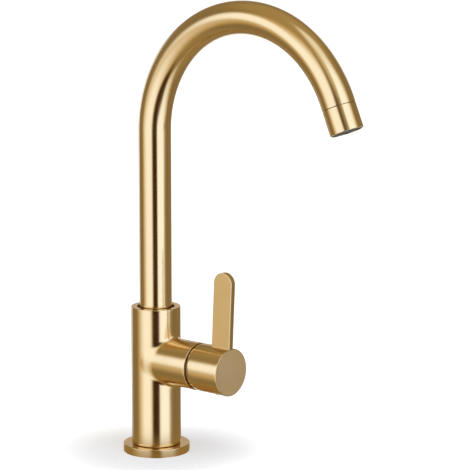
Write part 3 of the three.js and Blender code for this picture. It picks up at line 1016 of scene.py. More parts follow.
@dataclass(frozen=True)
class SpoutFoot:
    """What turns in the body: the sleeve, its two seals and its two glide rings."""

    sleeve: float = 15.9 * MM
    spigot: float = 12.5 * MM
    bore: float = 9.5 * MM
    seal_groove: float = 13.6 * MM
    screw_groove: float = 14.4 * MM

    def build(self, wardrobe: Wardrobe) -> None:
        """Builds the sleeve and its rings.

        Args:
            wardrobe: the finishes.
        """
        low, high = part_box("spout_sleeve")
        shoulder = 121.0 * MM
        grooves = (
            (self.seal_groove, 107.6 * MM, 110.4 * MM),
            (self.seal_groove, 111.4 * MM, 114.2 * MM),
            (self.screw_groove, 114.9 * MM, 119.7 * MM),
        )
        corners: list[Corner] = [(self.bore, low.z, 0.3 * MM), (self.sleeve, low.z, 0.3 * MM)]
        for floor, start, stop in grooves:
            corners += [(self.sleeve, start, 0.1 * MM), (floor, start, 0.1 * MM)]
            corners += [(floor, stop, 0.1 * MM), (self.sleeve, stop, 0.1 * MM)]
        corners += [(self.sleeve, shoulder, 0.2 * MM), (self.spigot, shoulder, 0.0)]
        corners += [(self.spigot, high.z, 0.3 * MM), (self.bore, high.z, 0.2 * MM)]
        sleeve = turned("swivel_sleeve", corners, UPRIGHT, closed=True, sides=96)
        wardrobe.dress(sleeve, TURNED_BRASS, "spout", "spout_sleeve")
        for name in ("o_ring_lower", "o_ring_upper"):
            bottom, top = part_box(name)
            section = (top.z - bottom.z) / 2
            corners = ring(top.x - 2 * section, top.x, bottom.z, top.z, section * 0.98)
            seal = turned(name.replace("o_ring", "swivel_seal"), corners, UPRIGHT, closed=True, sides=96)
            wardrobe.dress(seal, BLACK_RUBBER, "spout", name)
        for name, inner, finish in (
            ("glide_ring_lower", 10.0 * MM, WHITE_MOULDING),
            ("glide_ring_upper", 14.3 * MM, DARK_MOULDING),
        ):
            bottom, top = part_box(name)
            corners = ring(inner, top.x, bottom.z, top.z, 0.15 * MM)
            own_name = name.replace("glide_ring", "swivel_glide")
            glide = turned(own_name, corners, UPRIGHT, closed=True, sides=96)
            wardrobe.dress(glide, finish, "mixer", name)


@dataclass(frozen=True)
class Aerator:
    """The outlet: a flush housing, a honeycomb insert, a sieve and a washer."""

    axis: Axis
    radius: float
    length: float = 21.3 * MM
    gap: float = 0.3 * MM
    spigot: float = 12.5 * MM
    bore: float = 11.7 * MM
    mouth: float = 12.9 * MM
    shoulder: float = 13.3 * MM
    insert: float = 11.4 * MM
    insert_bore: float = 10.2 * MM
    insert_rim: float = 12.6 * MM
    rim_wall: float = 0.9 * MM
    floor: float = 15.7 * MM
    end: float = 20.7 * MM
    cell_pitch: float = 2.15 * MM
    cell_wall: float = 0.2 * MM
    cell_overlap: float = 0.02 * MM

    def build(self, wardrobe: Wardrobe) -> None:
        """Builds the housing and what it holds.

        Args:
            wardrobe: the finishes.
        """
        corners = [
            (self.bore, -7 * MM, 0.1 * MM),
            (self.spigot, -7 * MM, 0.2 * MM),
            (self.spigot, self.gap, 0.0),
            (self.radius, self.gap, 0.3 * MM),
            (self.radius, self.length, EDGE),
            (self.mouth, self.length, 0.2 * MM),
            (self.mouth, self.shoulder, 0.0),
            (self.bore, self.shoulder, 0.0),
        ]
        housing = turned("outlet_housing", corners, self.axis, closed=True)
        wardrobe.dress(housing, BRUSHED_GOLD, "spout", "aerator_housing")
        wardrobe.dress(self.honeycomb(), GREY_MOULDING, "spout", "aerator_insert")
        sieve = turned("outlet_sieve", rod(self.insert, -5.4 * MM, -4.3 * MM, 0.2 * MM), self.axis, sides=96)
        wardrobe.dress(sieve, ZINC_STEEL, "spout", "aerator_screen")
        corners = ring(9 * MM, self.insert, -6.9 * MM, -5.7 * MM, 0.25 * MM)
        washer = turned("outlet_washer", corners, self.axis, closed=True, sides=96)
        wardrobe.dress(washer, BLACK_RUBBER, "spout", "aerator_washer")

    def honeycomb(self) -> bpy.types.Object:
        """Builds the insert: a cup whose mouth holds a honeycomb of thin six-sided cells.

        Formula: cell centres lie on a triangular lattice inside the cup's rim. Each cell is a
        six-sided tube whose outer flats sink a little into its neighbours'.

        Returns:
            The finished piece.
        """
        inner_rim = self.insert_rim - self.rim_wall
        cup = [
            (self.insert_bore, -4 * MM, 0.15 * MM),
            (self.insert, -4 * MM, 0.15 * MM),
            (self.insert, self.shoulder + self.gap, 0.0),
            (self.insert_rim, self.shoulder + self.gap, 0.15 * MM),
            (self.insert_rim, self.end, 0.3 * MM),
            (inner_rim, self.end, 0.15 * MM),
            (inner_rim, self.floor, 0.0),
            (self.insert_bore, self.floor, 0.15 * MM),
        ]
        skin = Skin()
        skin.turn(rounded(cup, closed=True), self.axis, np.linspace(0.0, TAU, 96 + 1))
        reach = int(self.insert_rim / self.cell_pitch) + 1
        rows, columns = np.meshgrid(np.arange(-reach, reach + 1), np.arange(-reach, reach + 1), indexing="ij")
        across = (columns + 0.5 * rows) * self.cell_pitch
        up = rows * self.cell_pitch * math.sqrt(0.75)
        inside = np.hypot(across, up) < inner_rim - 0.4 * self.cell_pitch
        outer = self.cell_pitch / math.sqrt(3.0) + self.cell_overlap
        tube = rounded(ring(outer - self.cell_wall, outer, self.floor, self.end - 0.15 * MM), closed=True)
        turn = np.linspace(0.0, TAU, 7) + math.pi / 6
        start, along = np.array(self.axis.start), np.array(self.axis.along)
        side = np.cross(along, start)
        for x, y in zip(across[inside], up[inside]):
            centre = np.array(self.axis.origin) + x * start + y * side
            skin.turn(tube, Axis(tuple(centre), self.axis.along, self.axis.start), turn)
        piece = skin.close("outlet_honeycomb")
        piece.data.set_sharp_from_angle(angle=CREASE)
        return piece


# ---------------------------------------------------------------------------------------------
# Handle
# ---------------------------------------------------------------------------------------------


@dataclass(frozen=True)
class Handle:
    """The hub and its upright lever, cast in one, with a hollow that lets the hub rock over the socket."""

    radius: float = 20.5 * MM
    face: float = 85.0 * MM
    hollow: float = 22.0 * MM
    flat: float = 19.6 * MM
    face_satin: float = 1.5
    rim_wall: float = 0.25 * MM
    lever_width: float = 19.4 * MM
    lever_thickness: float = 5.3 * MM
    lever_foot: tuple[float, float, float] = (74.7 * MM, 0.0, 90.0 * MM)
    lever_lean: float = math.atan(0.046)
    lever_edge: float = 0.55 * MM
    screw_place: float = 72.0 * MM
    start: float = field(default_factory=lambda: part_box("handle")[0].x)
    lever_top: float = field(default_factory=lambda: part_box("handle")[1].z)

    def chamfer(self, angle: Array) -> tuple[Array, Array]:
        """Width and depth of the rim's bevel, which grows from the top of the hub to its bottom.

        Formula: both grow with a power of (1 - cos(angle)) / 2, which is 0 at the top and 1 below.

        Args:
            angle: angle about the valve, from the top.

        Returns:
            The width along the valve, and the depth at the rim.
        """
        low = (1.0 - np.cos(angle)) / 2
        return (1.7 + 7.3 * low**2.5) * MM, (0.5 + 0.6 * low**1.5) * MM

    def outside(self, reach: Array, angle: Array) -> Array:
        """Radius of the hub's wall at a distance along the valve, with the rim's bevel taken off."""
        width, deep = self.chamfer(angle)
        return self.radius - deep * np.clip(1.0 - (reach - self.start) / width, 0.0, None)

    def inside(self, reach: Array) -> Array:
        """Radius of the ball-shaped hollow at a distance along the valve."""
        return np.sqrt(np.maximum(self.hollow**2 - (reach - VALVE_PIVOT.x) ** 2, 0.0))

    def rim(self, angle: Array) -> Array:
        """Where the rim lies: the first place where the wall is thick enough, found by halving.

        Args:
            angle: angles about the valve.

        Returns:
            The rim's distance along the valve at each angle.
        """
        low, high = np.full_like(angle, self.start), np.full_like(angle, self.start + 6 * MM)
        for _ in range(40):
            middle = (low + high) / 2
            thin = self.outside(middle, angle) - self.inside(middle) < self.rim_wall
            low, high = np.where(thin, middle, low), np.where(thin, high, middle)
        return high

    def hub(self) -> bpy.types.Object:
        """Builds the hub: its bevelled wall, its flat face and its ball-shaped hollow.

        Returns:
            The hub, without its lever.
        """
        skin = Skin()
        angle = np.linspace(0.0, TAU, ROUND + 1)
        rim = self.rim(angle)
        crease = self.start + self.chamfer(angle)[0]
        end = self.face - EDGE
        bevel = rim + (crease - 0.1 * MM - rim) * np.linspace(0.0, 1.0, 9)[:, None]
        plain = crease + 0.1 * MM + (end - crease - 0.1 * MM) * np.linspace(0.0, 1.0, 18)[:, None]
        reach = np.concatenate([bevel, plain])
        around = np.broadcast_to(angle, reach.shape)
        flow = np.stack([around * self.radius, reach], axis=-1)
        # the bevel rows are lighter: partly edge wear, partly a painted sheen
        sheen_and_wear = np.zeros(reach.shape)
        sheen_and_wear[:9] = 0.6
        skin.add(VALVE.place(self.outside(reach, around), reach, around), flow, sheen_and_wear)

        bevel = rounded(
            [(self.radius, end, 0.0), (self.radius, self.face, EDGE), (self.flat, self.face, 0.0)]
        )
        points = VALVE.place(bevel.radius[:, None], bevel.height[:, None], angle[None, :])
        skin.add(points, points[..., [2, 1]], bevel.edge[:, None])
        disc = self.flat * np.linspace(1.0, 0.0, 8)[:, None]
        points = VALVE.place(disc, np.full((8, 1), self.face), angle[None, :])
        skin.add(points, points[..., [2, 1]], satin=self.face_satin)

        lip = np.linspace(0.0, 1.0, 3)[:, None]
        lip_radius = self.inside(rim) + (self.outside(rim, angle) - self.inside(rim)) * lip
        lip_reach = np.broadcast_to(rim, lip_radius.shape)
        around = np.broadcast_to(angle, lip_radius.shape)
        lip_flow = np.stack([around * self.radius, lip_radius], axis=-1)
        # the lip is lighter all over: partly edge wear, partly a painted sheen
        skin.add(VALVE.place(lip_radius, lip_reach, around), lip_flow, 1.0)

        opening = np.arccos((rim - VALVE_PIVOT.x) / self.hollow)
        polar = opening * np.linspace(0.0, 1.0, 25)[:, None]
        radius, reach = self.hollow * np.sin(polar), VALVE_PIVOT.x + self.hollow * np.cos(polar)
        around = np.broadcast_to(angle, radius.shape)
        radius[-1] = self.inside(rim)
        reach[-1] = rim
        skin.add(VALVE.place(radius, reach, around), np.stack([around * self.radius, reach], axis=-1))
        return skin.close("handle_casting")

    def lever(self) -> bpy.types.Object:
        """Builds the lever: a flat bar with a round top and softened edges.

        Formula: the outline goes up one side, round the half circle and down the other. Each ring of
        points is that outline pulled in towards the bar's middle line, and set at its own depth;
        the rings follow a quarter circle over each edge.

        Returns:
            The lever, leaning from its foot.
        """
        half = self.lever_width / 2
        thick = self.lever_thickness / 2
        tall = (self.lever_top - self.lever_foot[2]) / math.cos(self.lever_lean)
        shoulder = tall - half
        climb = np.linspace(0.0, shoulder, 24)
        arc = np.linspace(0.0, math.pi, 65)[1:-1]
        across = np.concatenate([np.full(24, half), half * np.cos(arc), np.full(24, -half)])
        height = np.concatenate([climb, shoulder + half * np.sin(arc), climb[::-1]])
        spine = np.minimum(height, shoulder)
        bend = np.linspace(0.0, math.pi / 2, 7)
        inset = self.lever_edge * (1.0 - np.sin(bend))
        depth = thick - self.lever_edge * (1.0 - np.cos(bend))
        pull = np.concatenate([[half, 0.6 * half, 0.3 * half, 1.6 * self.lever_edge], inset])
        level = np.concatenate([np.full(4, thick), depth])
        pull = np.concatenate([pull, pull[::-1]])
        level = np.concatenate([level, -level[::-1]])
        keep = 1.0 - pull[:, None] / half
        x = keep * across
        z = spine + keep * (height - spine)
        y = np.broadcast_to(level[:, None], x.shape)
        lean_cos, lean_sin = math.cos(self.lever_lean), math.sin(self.lever_lean)
        leant = np.stack([x * lean_cos + z * lean_sin, y, z * lean_cos - x * lean_sin], axis=-1)
        points = leant + self.lever_foot
        # the rounded edges are lighter: partly edge wear, partly a painted sheen
        sheen_and_wear = np.concatenate([np.zeros(4), np.ones(14), np.zeros(4)])[:, None]
        skin = Skin()
        flow = np.stack([z, x], axis=-1)
        for first, last, dull in ((0, 5, 1.0), (4, 18, 0.0), (17, 22, 1.0)):
            skin.add(points[first:last], flow[first:last], sheen_and_wear[first:last], satin=dull)
        foot = points[:, [0, -1]]
        skin.add(foot, foot[..., [0, 1]], flip=True)
        return skin.close("lever_blade")

    def build(self, wardrobe: Wardrobe) -> None:
        """Builds the handle, its plug and its screw seat.

        Args:
            wardrobe: the finishes.
        """
        screw = Axis((self.screw_place, 0.0, 0.0), UPRIGHT.along, UPRIGHT.start)
        bottom = VALVE_PIVOT.z - self.radius
        half = 4.3 * MM
        bore_low = (VALVE_PIVOT.x + 10 * MM, -half, VALVE_PIVOT.z - half)
        bore_high = (self.screw_place + half, half, VALVE_PIVOT.z + half)
        screw_hole = rod(2.8 * MM, bottom - MM, VALVE_PIVOT.z)
        plug_seat = rod(3.7 * MM, bottom - MM, bottom + 1.4 * MM)
        tools = [
            (Join.ADD, self.lever()),
            (Join.CUT, bar("cut_bore", bore_low, bore_high)),
            (Join.CUT, turned("cut_screw", screw_hole, screw, sides=INNER_ROUND)),
            (Join.CUT, turned("cut_plug", plug_seat, screw, sides=INNER_ROUND)),
        ]
        wardrobe.dress(machined(self.hub(), tools), BRUSHED_GOLD, "lever", "handle")
        low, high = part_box("handle_plug")
        corners = [
            (0.0, low.z, 0.0),
            (3.4 * MM, low.z, 0.7 * MM),
            (3.4 * MM, low.z + 1.9 * MM, 0.1 * MM),
            (2.4 * MM, low.z + 1.9 * MM, 0.0),
            (2.4 * MM, high.z, 0.2 * MM),
            (0.0, high.z, 0.0),
        ]
        plug = turned("handle_cap", corners, screw, sides=INNER_ROUND)
        wardrobe.dress(plug, BRUSHED_GOLD, "lever", "handle_plug")


# ---------------------------------------------------------------------------------------------
# Cartridge
# ---------------------------------------------------------------------------------------------


@dataclass(frozen=True)
class Cartridge:
    """The turned parts round the cartridge; its moving insides keep the frame's own meshes."""

    housing: float = 17.2 * MM
    neck: float = 15.0 * MM

    def build(self, wardrobe: Wardrobe) -> None:
        """Builds the housing, the ring nut and the cover ring.

        Args:
            wardrobe: the finishes.
        """
        low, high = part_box("cartridge_housing")
        step = high.x - 4 * MM
        corners = [
            (14.6 * MM, low.x, 0.2 * MM),
            (self.housing, low.x, 0.3 * MM),
            (self.housing, step, 0.4 * MM),
            (self.neck, step, 0.0),
            (self.neck, high.x, 0.4 * MM),
            (11.8 * MM, high.x, 0.2 * MM),
            (11.8 * MM, high.x - 5.4 * MM, 0.0),
            (14.6 * MM, high.x - 5.4 * MM, 0.0),
        ]
        housing = turned("cartridge_shell", corners, VALVE, closed=True, sides=96)
        wardrobe.dress(housing, WHITE_MOULDING, "mixer", "cartridge_housing")

        low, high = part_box("cartridge_nut")
        nut = turned("cartridge_ring_nut", ring(15.4 * MM, 18 * MM, low.x, high.x, 0.3 * MM), VALVE, True, 96)
        notches = []
        for turn in np.arange(6) * math.pi / 3:
            radial = (0.0, -math.sin(turn), math.cos(turn))
            spot = (high.x + 0.2 * MM, 0.0, VALVE_PIVOT.z)
            notch = rod(1.6 * MM, 14 * MM, 20 * MM)
            notches.append((Join.CUT, turned("cut_notch", notch, Axis(spot, radial, VALVE.along), sides=24)))
        wardrobe.dress(machined(nut, notches), TURNED_BRASS, "mixer", "cartridge_nut")

        low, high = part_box("cover_ring")
        corners = [
            (15.6 * MM, low.x, 0.1 * MM),
            (17.9 * MM, low.x, 0.2 * MM),
            (17.9 * MM, low.x + 0.8 * MM, 0.5 * MM),
            (13.8 * MM, high.x, 0.5 * MM),
            (12.9 * MM, high.x, 0.2 * MM),
            (12.9 * MM, high.x - MM, 0.2 * MM),
        ]
        cover = turned("cartridge_cover", corners, VALVE, closed=True, sides=96)
        wardrobe.dress(cover, BRUSHED_GOLD, "mixer", "cover_ring")


# ---------------------------------------------------------------------------------------------
# Fixing kit
# ---------------------------------------------------------------------------------------------


@dataclass(frozen=True)
class FixingKit:
    """What holds the tap from under the worktop: studs, nuts, a plate and a gasket."""

    stud_radius: float = 3.0 * MM
    thread_pitch: float = 1.0 * MM
    thread_depth: float = 0.45 * MM
    nut_across: float = 10.0 * MM

    def stud(self, name: str) -> bpy.types.Object:
        """Builds a threaded stud over a frame node.

        Formula: the radius falls and rises as a triangle wave of height over pitch less angle over a
        full turn, so the crest winds up the rod. The wave fades out at both ends.

        Args:
            name: the frame node.

        Returns:
            The stud.
        """
        low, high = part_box(name)
        middle = (low.x + high.x) / 2
        length = high.z - low.z
        count = int(length / self.thread_pitch) * 8
        height = np.linspace(low.z + 0.3 * MM, high.z - 0.3 * MM, count)[:, None]
        turn = np.linspace(0.0, TAU, 25)[None, :]
        wave = np.abs(((height / self.thread_pitch - turn / TAU) % 1.0) * 2 - 1)
        fade = np.clip(np.minimum(height - low.z, high.z - height) / MM, 0.0, 1.0)
        radius = self.stud_radius - self.thread_depth * (1 - (1 - wave) * fade)
        axis = Axis((middle, 0.0, 0.0), UPRIGHT.along, UPRIGHT.start)
        skin = Skin()
        points = axis.place(radius, height, turn)
        flow = np.stack(np.broadcast_arrays(turn * self.stud_radius, height), axis=-1)
        skin.add(points, flow)
        core = np.array([0.0, 0.8])[:, None] * self.stud_radius
        for end, row, flip in ((low.z, 0, False), (high.z, -1, True)):
            reach, around = np.broadcast_to(core, (2, 25)), np.broadcast_to(turn, (2, 25))
            cap = axis.place(reach, np.full((2, 25), end), around)
            cap = np.concatenate([cap, points[[row]]])
            skin.add(cap, cap[..., :2], flip=flip)
        return skin.close("threaded_" + name)

    def nut(self, name: str) -> bpy.types.Object:
        """Builds a hexagon nut over a frame node.

        Formula: the outer radius is that of a hexagon, half the width over the cosine of the angle
        from the nearest flat, cut down at both ends by a cone.

        Args:
            name: the frame node.

        Returns:
            The nut.
        """
        low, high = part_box(name)
        middle = (low.x + high.x) / 2
        turn = np.linspace(0.0, TAU, 97)[None, :] + math.pi / 6
        share = np.concatenate([np.linspace(0, 0.16, 8), np.linspace(0.84, 1, 8)])
        height = low.z + (high.z - low.z) * share[:, None]
        flat = (turn + math.pi / 6) % (math.pi / 3) - math.pi / 6
        hexagon = self.nut_across / 2 / np.cos(flat)
        cone = self.nut_across / 2 * 0.99 + 1.8 * np.minimum(height - low.z, high.z - height)
        axis = Axis((middle, 0.0, 0.0), UPRIGHT.along, UPRIGHT.start)
        outer = axis.place(np.minimum(hexagon, cone), height, turn)
        skin = Skin()
        skin.add(outer, np.stack(np.broadcast_arrays(turn * self.nut_across / 2, height), axis=-1))
        bore = np.full((2, 97), self.stud_radius + 0.3 * MM)
        hole = axis.place(bore, np.array([[high.z], [low.z]]), turn)
        skin.add(hole, hole[..., :2])
        for end, row, flip in ((0, 1, True), (-1, 0, False)):
            face = np.concatenate([outer[[end]], hole[[row]]])
            skin.add(face, face[..., :2], flip=flip)
        piece = skin.close("hexagon_" + name)
        piece.data.set_sharp_from_angle(angle=math.radians(25.0))
        return piece

    def horseshoe(self, node: str, softness: float) -> bpy.types.Object:
        """Builds a horseshoe plate over a frame node: a disc with a slot for the hoses and two stud holes.

        Args:
            node: the frame node.
            softness: rounding of its edges.

        Returns:
            The plate.
        """
        low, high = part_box(node)
        radius, slot, seat = -low.y, 7.0 * MM, -9.5 * MM
        mouth = math.asin(slot / radius)
        outer = np.linspace(math.pi / 2 + mouth, 2.5 * math.pi - mouth, 97)
        inner = np.linspace(0.0, -math.pi, 33)
        outline = np.concatenate([
            np.stack([radius * np.cos(outer), radius * np.sin(outer)], axis=-1),
            np.stack([slot * np.cos(inner), seat + slot * np.sin(inner)], axis=-1),
        ])
        turn = np.linspace(0.0, TAU, 33)[:-1]
        circle = np.stack([np.cos(turn), np.sin(turn)], axis=-1) * (self.stud_radius + 0.4 * MM)
        holes = [circle + (side * 13.5 * MM, 0.0) for side in (-1.0, 1.0)]
        curve = bpy.data.curves.new(node + "_outline", "CURVE")
        curve.dimensions = "2D"
        curve.fill_mode = "BOTH"
        curve.extrude = (high.z - low.z) / 2 - softness
        curve.bevel_depth = softness
        curve.bevel_resolution = 2
        curve.offset = -softness
        for loop in (outline, *holes):
            spline = curve.splines.new("POLY")
            spline.points.add(len(loop) - 1)
            spots = np.concatenate([loop, np.zeros((len(loop), 1)), np.ones((len(loop), 1))], axis=1)
            spline.points.foreach_set("co", spots.astype(np.float32).ravel())
            spline.use_cyclic_u = True
        shape = bpy.data.objects.new(node + "_outline", curve)
        bpy.context.scene.collection.objects.link(shape)
        mesh = bpy.data.meshes.new_from_object(shape.evaluated_get(bpy.context.evaluated_depsgraph_get()))
        bpy.data.objects.remove(shape)
        spots = np.empty(len(mesh.vertices) * 3, dtype=np.float32)
        mesh.vertices.foreach_get("co", spots)
        spots[2::3] += (low.z + high.z) / 2
        mesh.vertices.foreach_set("co", spots)
        weld(mesh)
        mesh.set_sharp_from_angle(angle=math.radians(35.0))
        piece = bpy.data.objects.new("horseshoe_" + node.split("_")[1], mesh)
        bpy.context.scene.collection.objects.link(piece)
        return piece

    def build(self, wardrobe: Wardrobe) -> None:
        """Builds the whole kit.

        Args:
            wardrobe: the finishes.
        """
        for side in ("back", "front"):
            wardrobe.dress(self.stud("stud_" + side), ZINC_STEEL, "mixer", "stud_" + side)
            wardrobe.dress(self.nut("fixing_nut_" + side), TURNED_BRASS, "mixer", "fixing_nut_" + side)
        wardrobe.dress(self.horseshoe("fixing_plate", 0.2 * MM), ZINC_STEEL, "mixer", "fixing_plate")
        wardrobe.dress(self.horseshoe("fixing_gasket", 0.4 * MM), BLACK_RUBBER, "mixer", "fixing_gasket")


def weld(mesh: bpy.types.Mesh) -> None:
    """Merges a mesh's doubled points, takes out faces of no width and turns the rest outwards."""
    shape = bmesh.new()
    shape.from_mesh(mesh)
    bmesh.ops.remove_doubles(shape, verts=shape.verts, dist=WELD)
    bmesh.ops.dissolve_degenerate(shape, dist=WELD, edges=shape.edges)
    bmesh.ops.recalc_face_normals(shape, faces=shape.faces)
    shape.to_mesh(mesh)
    shape.free()


# ---------------------------------------------------------------------------------------------
# Studio
# ---------------------------------------------------------------------------------------------


@dataclass(frozen=True)
class Panel:
    """An oval patch of the studio's light, on the sphere of directions, in degrees.

    Azimuth is counted from the direction in which the camera stands, growing to the right as the
    camera sees it. Each edge is given by two numbers, where the patch is full and where it ends: the
    oval's as shares of its size, and the straight edges' as azimuths. The patch leans to the left
    by a share of its height over the horizon's ten degrees below.
    """

    name: str
    colour: tuple[float, float, float]
    centre: tuple[float, float]
    size: tuple[float, float]
    fade: tuple[float, float] = (0.8, 1.2)
    left_edge: tuple[float, float] = (-998.0, -999.0)
    right_edge: tuple[float, float] = (998.0, 999.0)
    lean: float = 0.0


@dataclass(frozen=True)
class Studio:
    """Floor, soft light and camera."""

    azimuth: float = math.radians(39.7)
    pitch: float = 0.1796
    distance: float = 1.952
    lens: float = 173.2
    aim: tuple[float, float, float] = (52.9 * MM, 43.9 * MM, 191.3 * MM)
    floor_size: float = 12.0
    # from where the floor's painted shadow round the foot is full to where it ends
    painted_floor_shadow: tuple[float, float] = (40 * MM, 125 * MM)
    # inner and outer radius of the ring of painted shade that the metal reflects
    painted_shade_ring: tuple[float, float] = (30.0 * MM, 100.0 * MM)
    surroundings: tuple[float, float, float] = (0.28, 0.225, 0.135)
    panels: tuple[Panel, ...] = (
        Panel("ceiling", (0.42, 0.34, 0.18), (0, 90), (9999, 46), (0.65, 1.3)),
        Panel("ground", (0.35, 0.28, 0.16), (0, -90), (9999, 37), (0.75, 1.25)),
        Panel("dark_gap", (0.05, 0.02, 0.0), (2, -18), (999, 42), (0.7, 1.15), (-24, -34), (24, 34)),
        Panel("bridge", (0.74, 0.70, 0.60), (10, 48), (28, 34), (0.2, 1.1)),
        Panel(
            "left_glow", (0.66, 0.54, 0.30), (-35, -2), (48, 46), (0.95, 1.35),
            right_edge=(-22, -10), lean=0.15,
        ),
        Panel(
            "left_softbox", (1.22, 1.41, 1.92), (-35, -2), (48, 46), (0.4, 1.1),
            right_edge=(-28, -11), lean=0.15,
        ),
        Panel("left_wing", (1.22, 1.41, 1.92), (-72, 12), (24, 21), (0.5, 1.15)),
        Panel("right_glow", (0.66, 0.54, 0.30), (38, 8), (50, 78), (0.8, 1.15), (22, 14), lean=0.04),
        Panel("right_softbox", (1.24, 1.48, 2.10), (38, 8), (46, 76), (0.45, 1.2), (23, 14), lean=0.04),
        Panel("right_dip", (0.26, 0.21, 0.12), (88, -12), (24, 7), (0.6, 1.2)),
        Panel("low_gap", (0.10, 0.06, 0.02), (16, -35), (20, 20), (0.3, 1.1)),
        Panel("overhead", (0.98, 1.06, 1.20), (43, 80), (60, 26), (0.5, 1.3)),
        Panel("left_back_softbox", (0.58, 0.51, 0.46), (-180, 0), (26, 26), (0.6, 1.0)),
        Panel("right_back_softbox", (0.58, 0.51, 0.46), (180, 0), (26, 26), (0.6, 1.0)),
        Panel("left_low_softbox", (1.1, 1.2, 1.35), (-180, -23), (26, 17), (0.5, 1.0)),
        Panel("right_low_softbox", (1.1, 1.2, 1.35), (180, -23), (26, 17), (0.5, 1.0)),
        Panel("left_back_strip", (1.15, 1.30, 1.60), (-147, -2), (14, 17), (0.4, 1.1)),
        Panel("right_back_strip", (1.0, 1.05, 1.15), (158, 11), (14, 10), (0.4, 1.1)),
    )

    def direction(self, azimuth: float) -> Vector:
        """Level direction from the tap towards an azimuth counted from the camera's, in radians."""
        turn = self.azimuth + azimuth
        return Vector((math.sin(turn), -math.cos(turn), 0.0))

    def build_camera(self) -> None:
        """Places the camera."""
        data = bpy.data.cameras.new("camera")
        data.lens = self.lens
        camera = bpy.data.objects.new("camera", data)
        back = self.direction(0.0) * math.cos(self.pitch) + Vector((0.0, 0.0, math.sin(self.pitch)))
        camera.location = Vector(self.aim) + back * self.distance
        camera.rotation_euler = (-back).to_track_quat("-Z", "Y").to_euler()
        bpy.context.scene.collection.objects.link(camera)
        bpy.context.scene.camera = camera

    def build_key(self) -> None:
        """Hangs a wide soft lamp that shades the floor. It doesn't show in the metal."""
        data = bpy.data.lights.new("key_light", "AREA")
        data.shape = "DISK"
        data.size = 2.0
        data.energy = 16.0
        light = bpy.data.objects.new("key_light", data)
        light.location = self.direction(math.radians(-50.0)) * 1.6 + Vector((0.0, 0.0, 3.0))
        light.rotation_euler = light.location.to_track_quat("Z", "Y").to_euler()
        light.visible_camera = False
        light.visible_glossy = False
        bpy.context.scene.collection.objects.link(light)

    def build_floor(self) -> None:
        """Lays the pale floor, its colour and glow darkened round the foot as a painted shadow. It doesn't
        show in the metal, so the tap reflects the softboxes only.
        """
        half = self.floor_size / 2
        mesh = bpy.data.meshes.new("floor")
        corners = [(-half, -half, 0.0), (half, -half, 0.0), (half, half, 0.0), (-half, half, 0.0)]
        mesh.from_pydata(corners, [], [(0, 1, 2, 3)])
        floor = bpy.data.objects.new("floor", mesh)
        material = bpy.data.materials.new("floor_paper")
        material.use_nodes = True
        shader = material.node_tree.nodes["Principled BSDF"]
        shader.inputs["Roughness"].default_value = 0.9
        shader.inputs["Specular IOR Level"].default_value = 0.0
        shader.inputs["Emission Strength"].default_value = 0.69
        sums = Sums(material.node_tree)
        # painted shadow: the floor's colour and glow darken round the foot
        painted_shade = sums.ramp(sums.distance(), *self.painted_floor_shadow)
        sums.feed(shader.inputs["Base Color"], sums.mix(painted_shade, (0.78, 0.80, 0.82), (0.55, 0.56, 0.58)))
        sums.feed(shader.inputs["Emission Color"], sums.mix(painted_shade, (1.0, 1.0, 1.0), (0.69, 0.69, 0.70)))
        mesh.materials.append(material)
        floor.visible_glossy = False
        bpy.context.scene.collection.objects.link(floor)

    def build_painted_foot_shade(self) -> None:
        """Lays a dark glowing ring round the foot that only the metal sees: a painted shade standing in for
        the floor's shade, seen in the metal just above it.

        Formula: two circles round the foot, joined into a flat ring; its cover fades from full at
        the inner circle to none at the outer one.
        """
        inner, outer = self.painted_shade_ring
        turn = np.linspace(0.0, TAU, INNER_ROUND, endpoint=False)
        circle = np.stack([np.cos(turn), np.sin(turn), np.zeros_like(turn)], axis=-1)
        here = np.arange(INNER_ROUND)
        after = np.roll(here, -1)
        faces = np.stack([here, here + INNER_ROUND, after + INNER_ROUND, after], axis=-1)
        mesh = bpy.data.meshes.new("painted_foot_shade")
        mesh.from_pydata(np.concatenate([inner * circle, outer * circle]).tolist(), [], faces.tolist())
        material = bpy.data.materials.new("painted_shade_glow")
        material.use_nodes = True
        shader = material.node_tree.nodes["Principled BSDF"]
        shader.inputs["Base Color"].default_value = (0.0, 0.0, 0.0, 1.0)
        shader.inputs["Specular IOR Level"].default_value = 0.0
        # painted shade: a dark gold glow that the metal reflects where the shaded floor would show
        shader.inputs["Emission Color"].default_value = (0.34, 0.25, 0.10, 1.0)
        shader.inputs["Emission Strength"].default_value = 1.0
        sums = Sums(material.node_tree)
        fade = sums.ramp(sums.distance(), inner, outer)
        sums.feed(shader.inputs["Alpha"], sums.math("MULTIPLY", fade, 0.8))
        mesh.materials.append(material)
        painted_shade = bpy.data.objects.new("painted_foot_shade", mesh)
        painted_shade.visible_camera = False
        painted_shade.visible_diffuse = False
        painted_shade.visible_shadow = False
        bpy.context.scene.collection.objects.link(painted_shade)

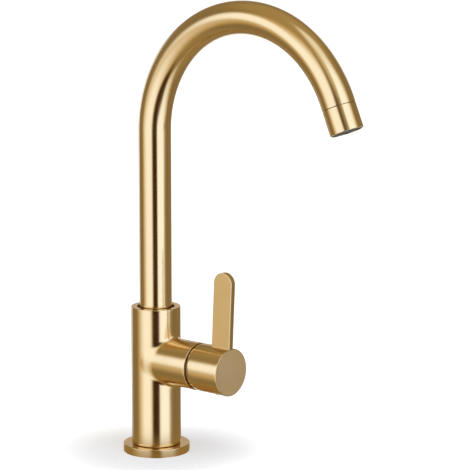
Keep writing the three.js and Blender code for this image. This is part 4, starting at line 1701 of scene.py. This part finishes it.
    def build_world(self) -> None:
        """Sets the soft light: a warm room with pale panels round the tap, and plain white to the camera."""
        world = bpy.data.worlds.new("soft_light")
        world.use_nodes = True
        sums = Sums(world.node_tree)
        heading = sums.node("TexCoord", {}).outputs["Generated"]
        ahead = sums.dot(heading, self.direction(0.0))
        rightward = sums.dot(heading, self.direction(math.pi / 2))
        azimuth = sums.math("DEGREES", sums.math("ARCTAN2", rightward, ahead))
        elevation = sums.math("DEGREES", sums.math("ARCSINE", sums.dot(heading, Vector((0.0, 0.0, 1.0)))))
        rise = sums.math("MAXIMUM", sums.math("ADD", elevation, 10.0), 0.0)
        colour = None
        for panel in self.panels:
            across = sums.math("MULTIPLY_ADD", rise, panel.lean, azimuth)
            first = sums.math("DIVIDE", sums.math("SUBTRACT", across, panel.centre[0]), panel.size[0])
            second = sums.math("DIVIDE", sums.math("SUBTRACT", elevation, panel.centre[1]), panel.size[1])
            squares = sums.math("MULTIPLY_ADD", first, first, sums.math("MULTIPLY", second, second))
            reach = sums.math("SQRT", squares)
            left, right = sums.ramp(across, *panel.left_edge), sums.ramp(across, *panel.right_edge)
            sides = sums.math("MULTIPLY", left, right)
            mask = sums.math("MULTIPLY", sums.ramp(reach, *panel.fade), sides)
            colour = sums.mix(mask, self.surroundings if colour is None else colour, panel.colour)
        nodes = world.node_tree.nodes
        room = nodes["Background"]
        sums.feed(room.inputs["Color"], colour)
        backdrop = sums.node("Background", {"Color": (1.0, 1.0, 1.0, 1.0)})
        to_camera = sums.node("LightPath", {}).outputs["Is Camera Ray"]
        behind = {"Fac": to_camera, 1: room.outputs["Background"], 2: backdrop.outputs["Background"]}
        sums.feed(nodes["World Output"].inputs["Surface"], sums.node("MixShader", behind).outputs["Shader"])
        bpy.context.scene.world = world

    def build(self) -> None:
        """Builds the whole studio."""
        self.build_camera()
        self.build_key()
        self.build_floor()
        self.build_painted_foot_shade()
        self.build_world()
        bpy.context.scene.view_settings.view_transform = "Standard"


# ---------------------------------------------------------------------------------------------


def main() -> None:
    """Builds the studio, then every sub-assembly from the worktop up."""
    logging.basicConfig(level=logging.INFO, format="%(name)s: %(message)s")
    Studio().build()
    wardrobe = Wardrobe()
    wardrobe.dress_frame()
    wardrobe.dress(MixerBody().build(), BRUSHED_GOLD, "mixer", "mixer_body")
    BaseFlange().build(wardrobe)
    FixingKit().build(wardrobe)
    neck = SwanNeck()
    wardrobe.dress(neck.build(), BRUSHED_GOLD, "spout", "spout_tube")
    SpoutFoot().build(wardrobe)
    Aerator(neck.nose_axis(), neck.radius).build(wardrobe)
    Cartridge().build(wardrobe)
    Handle().build(wardrobe)


if __name__ == "__main__":
    main()
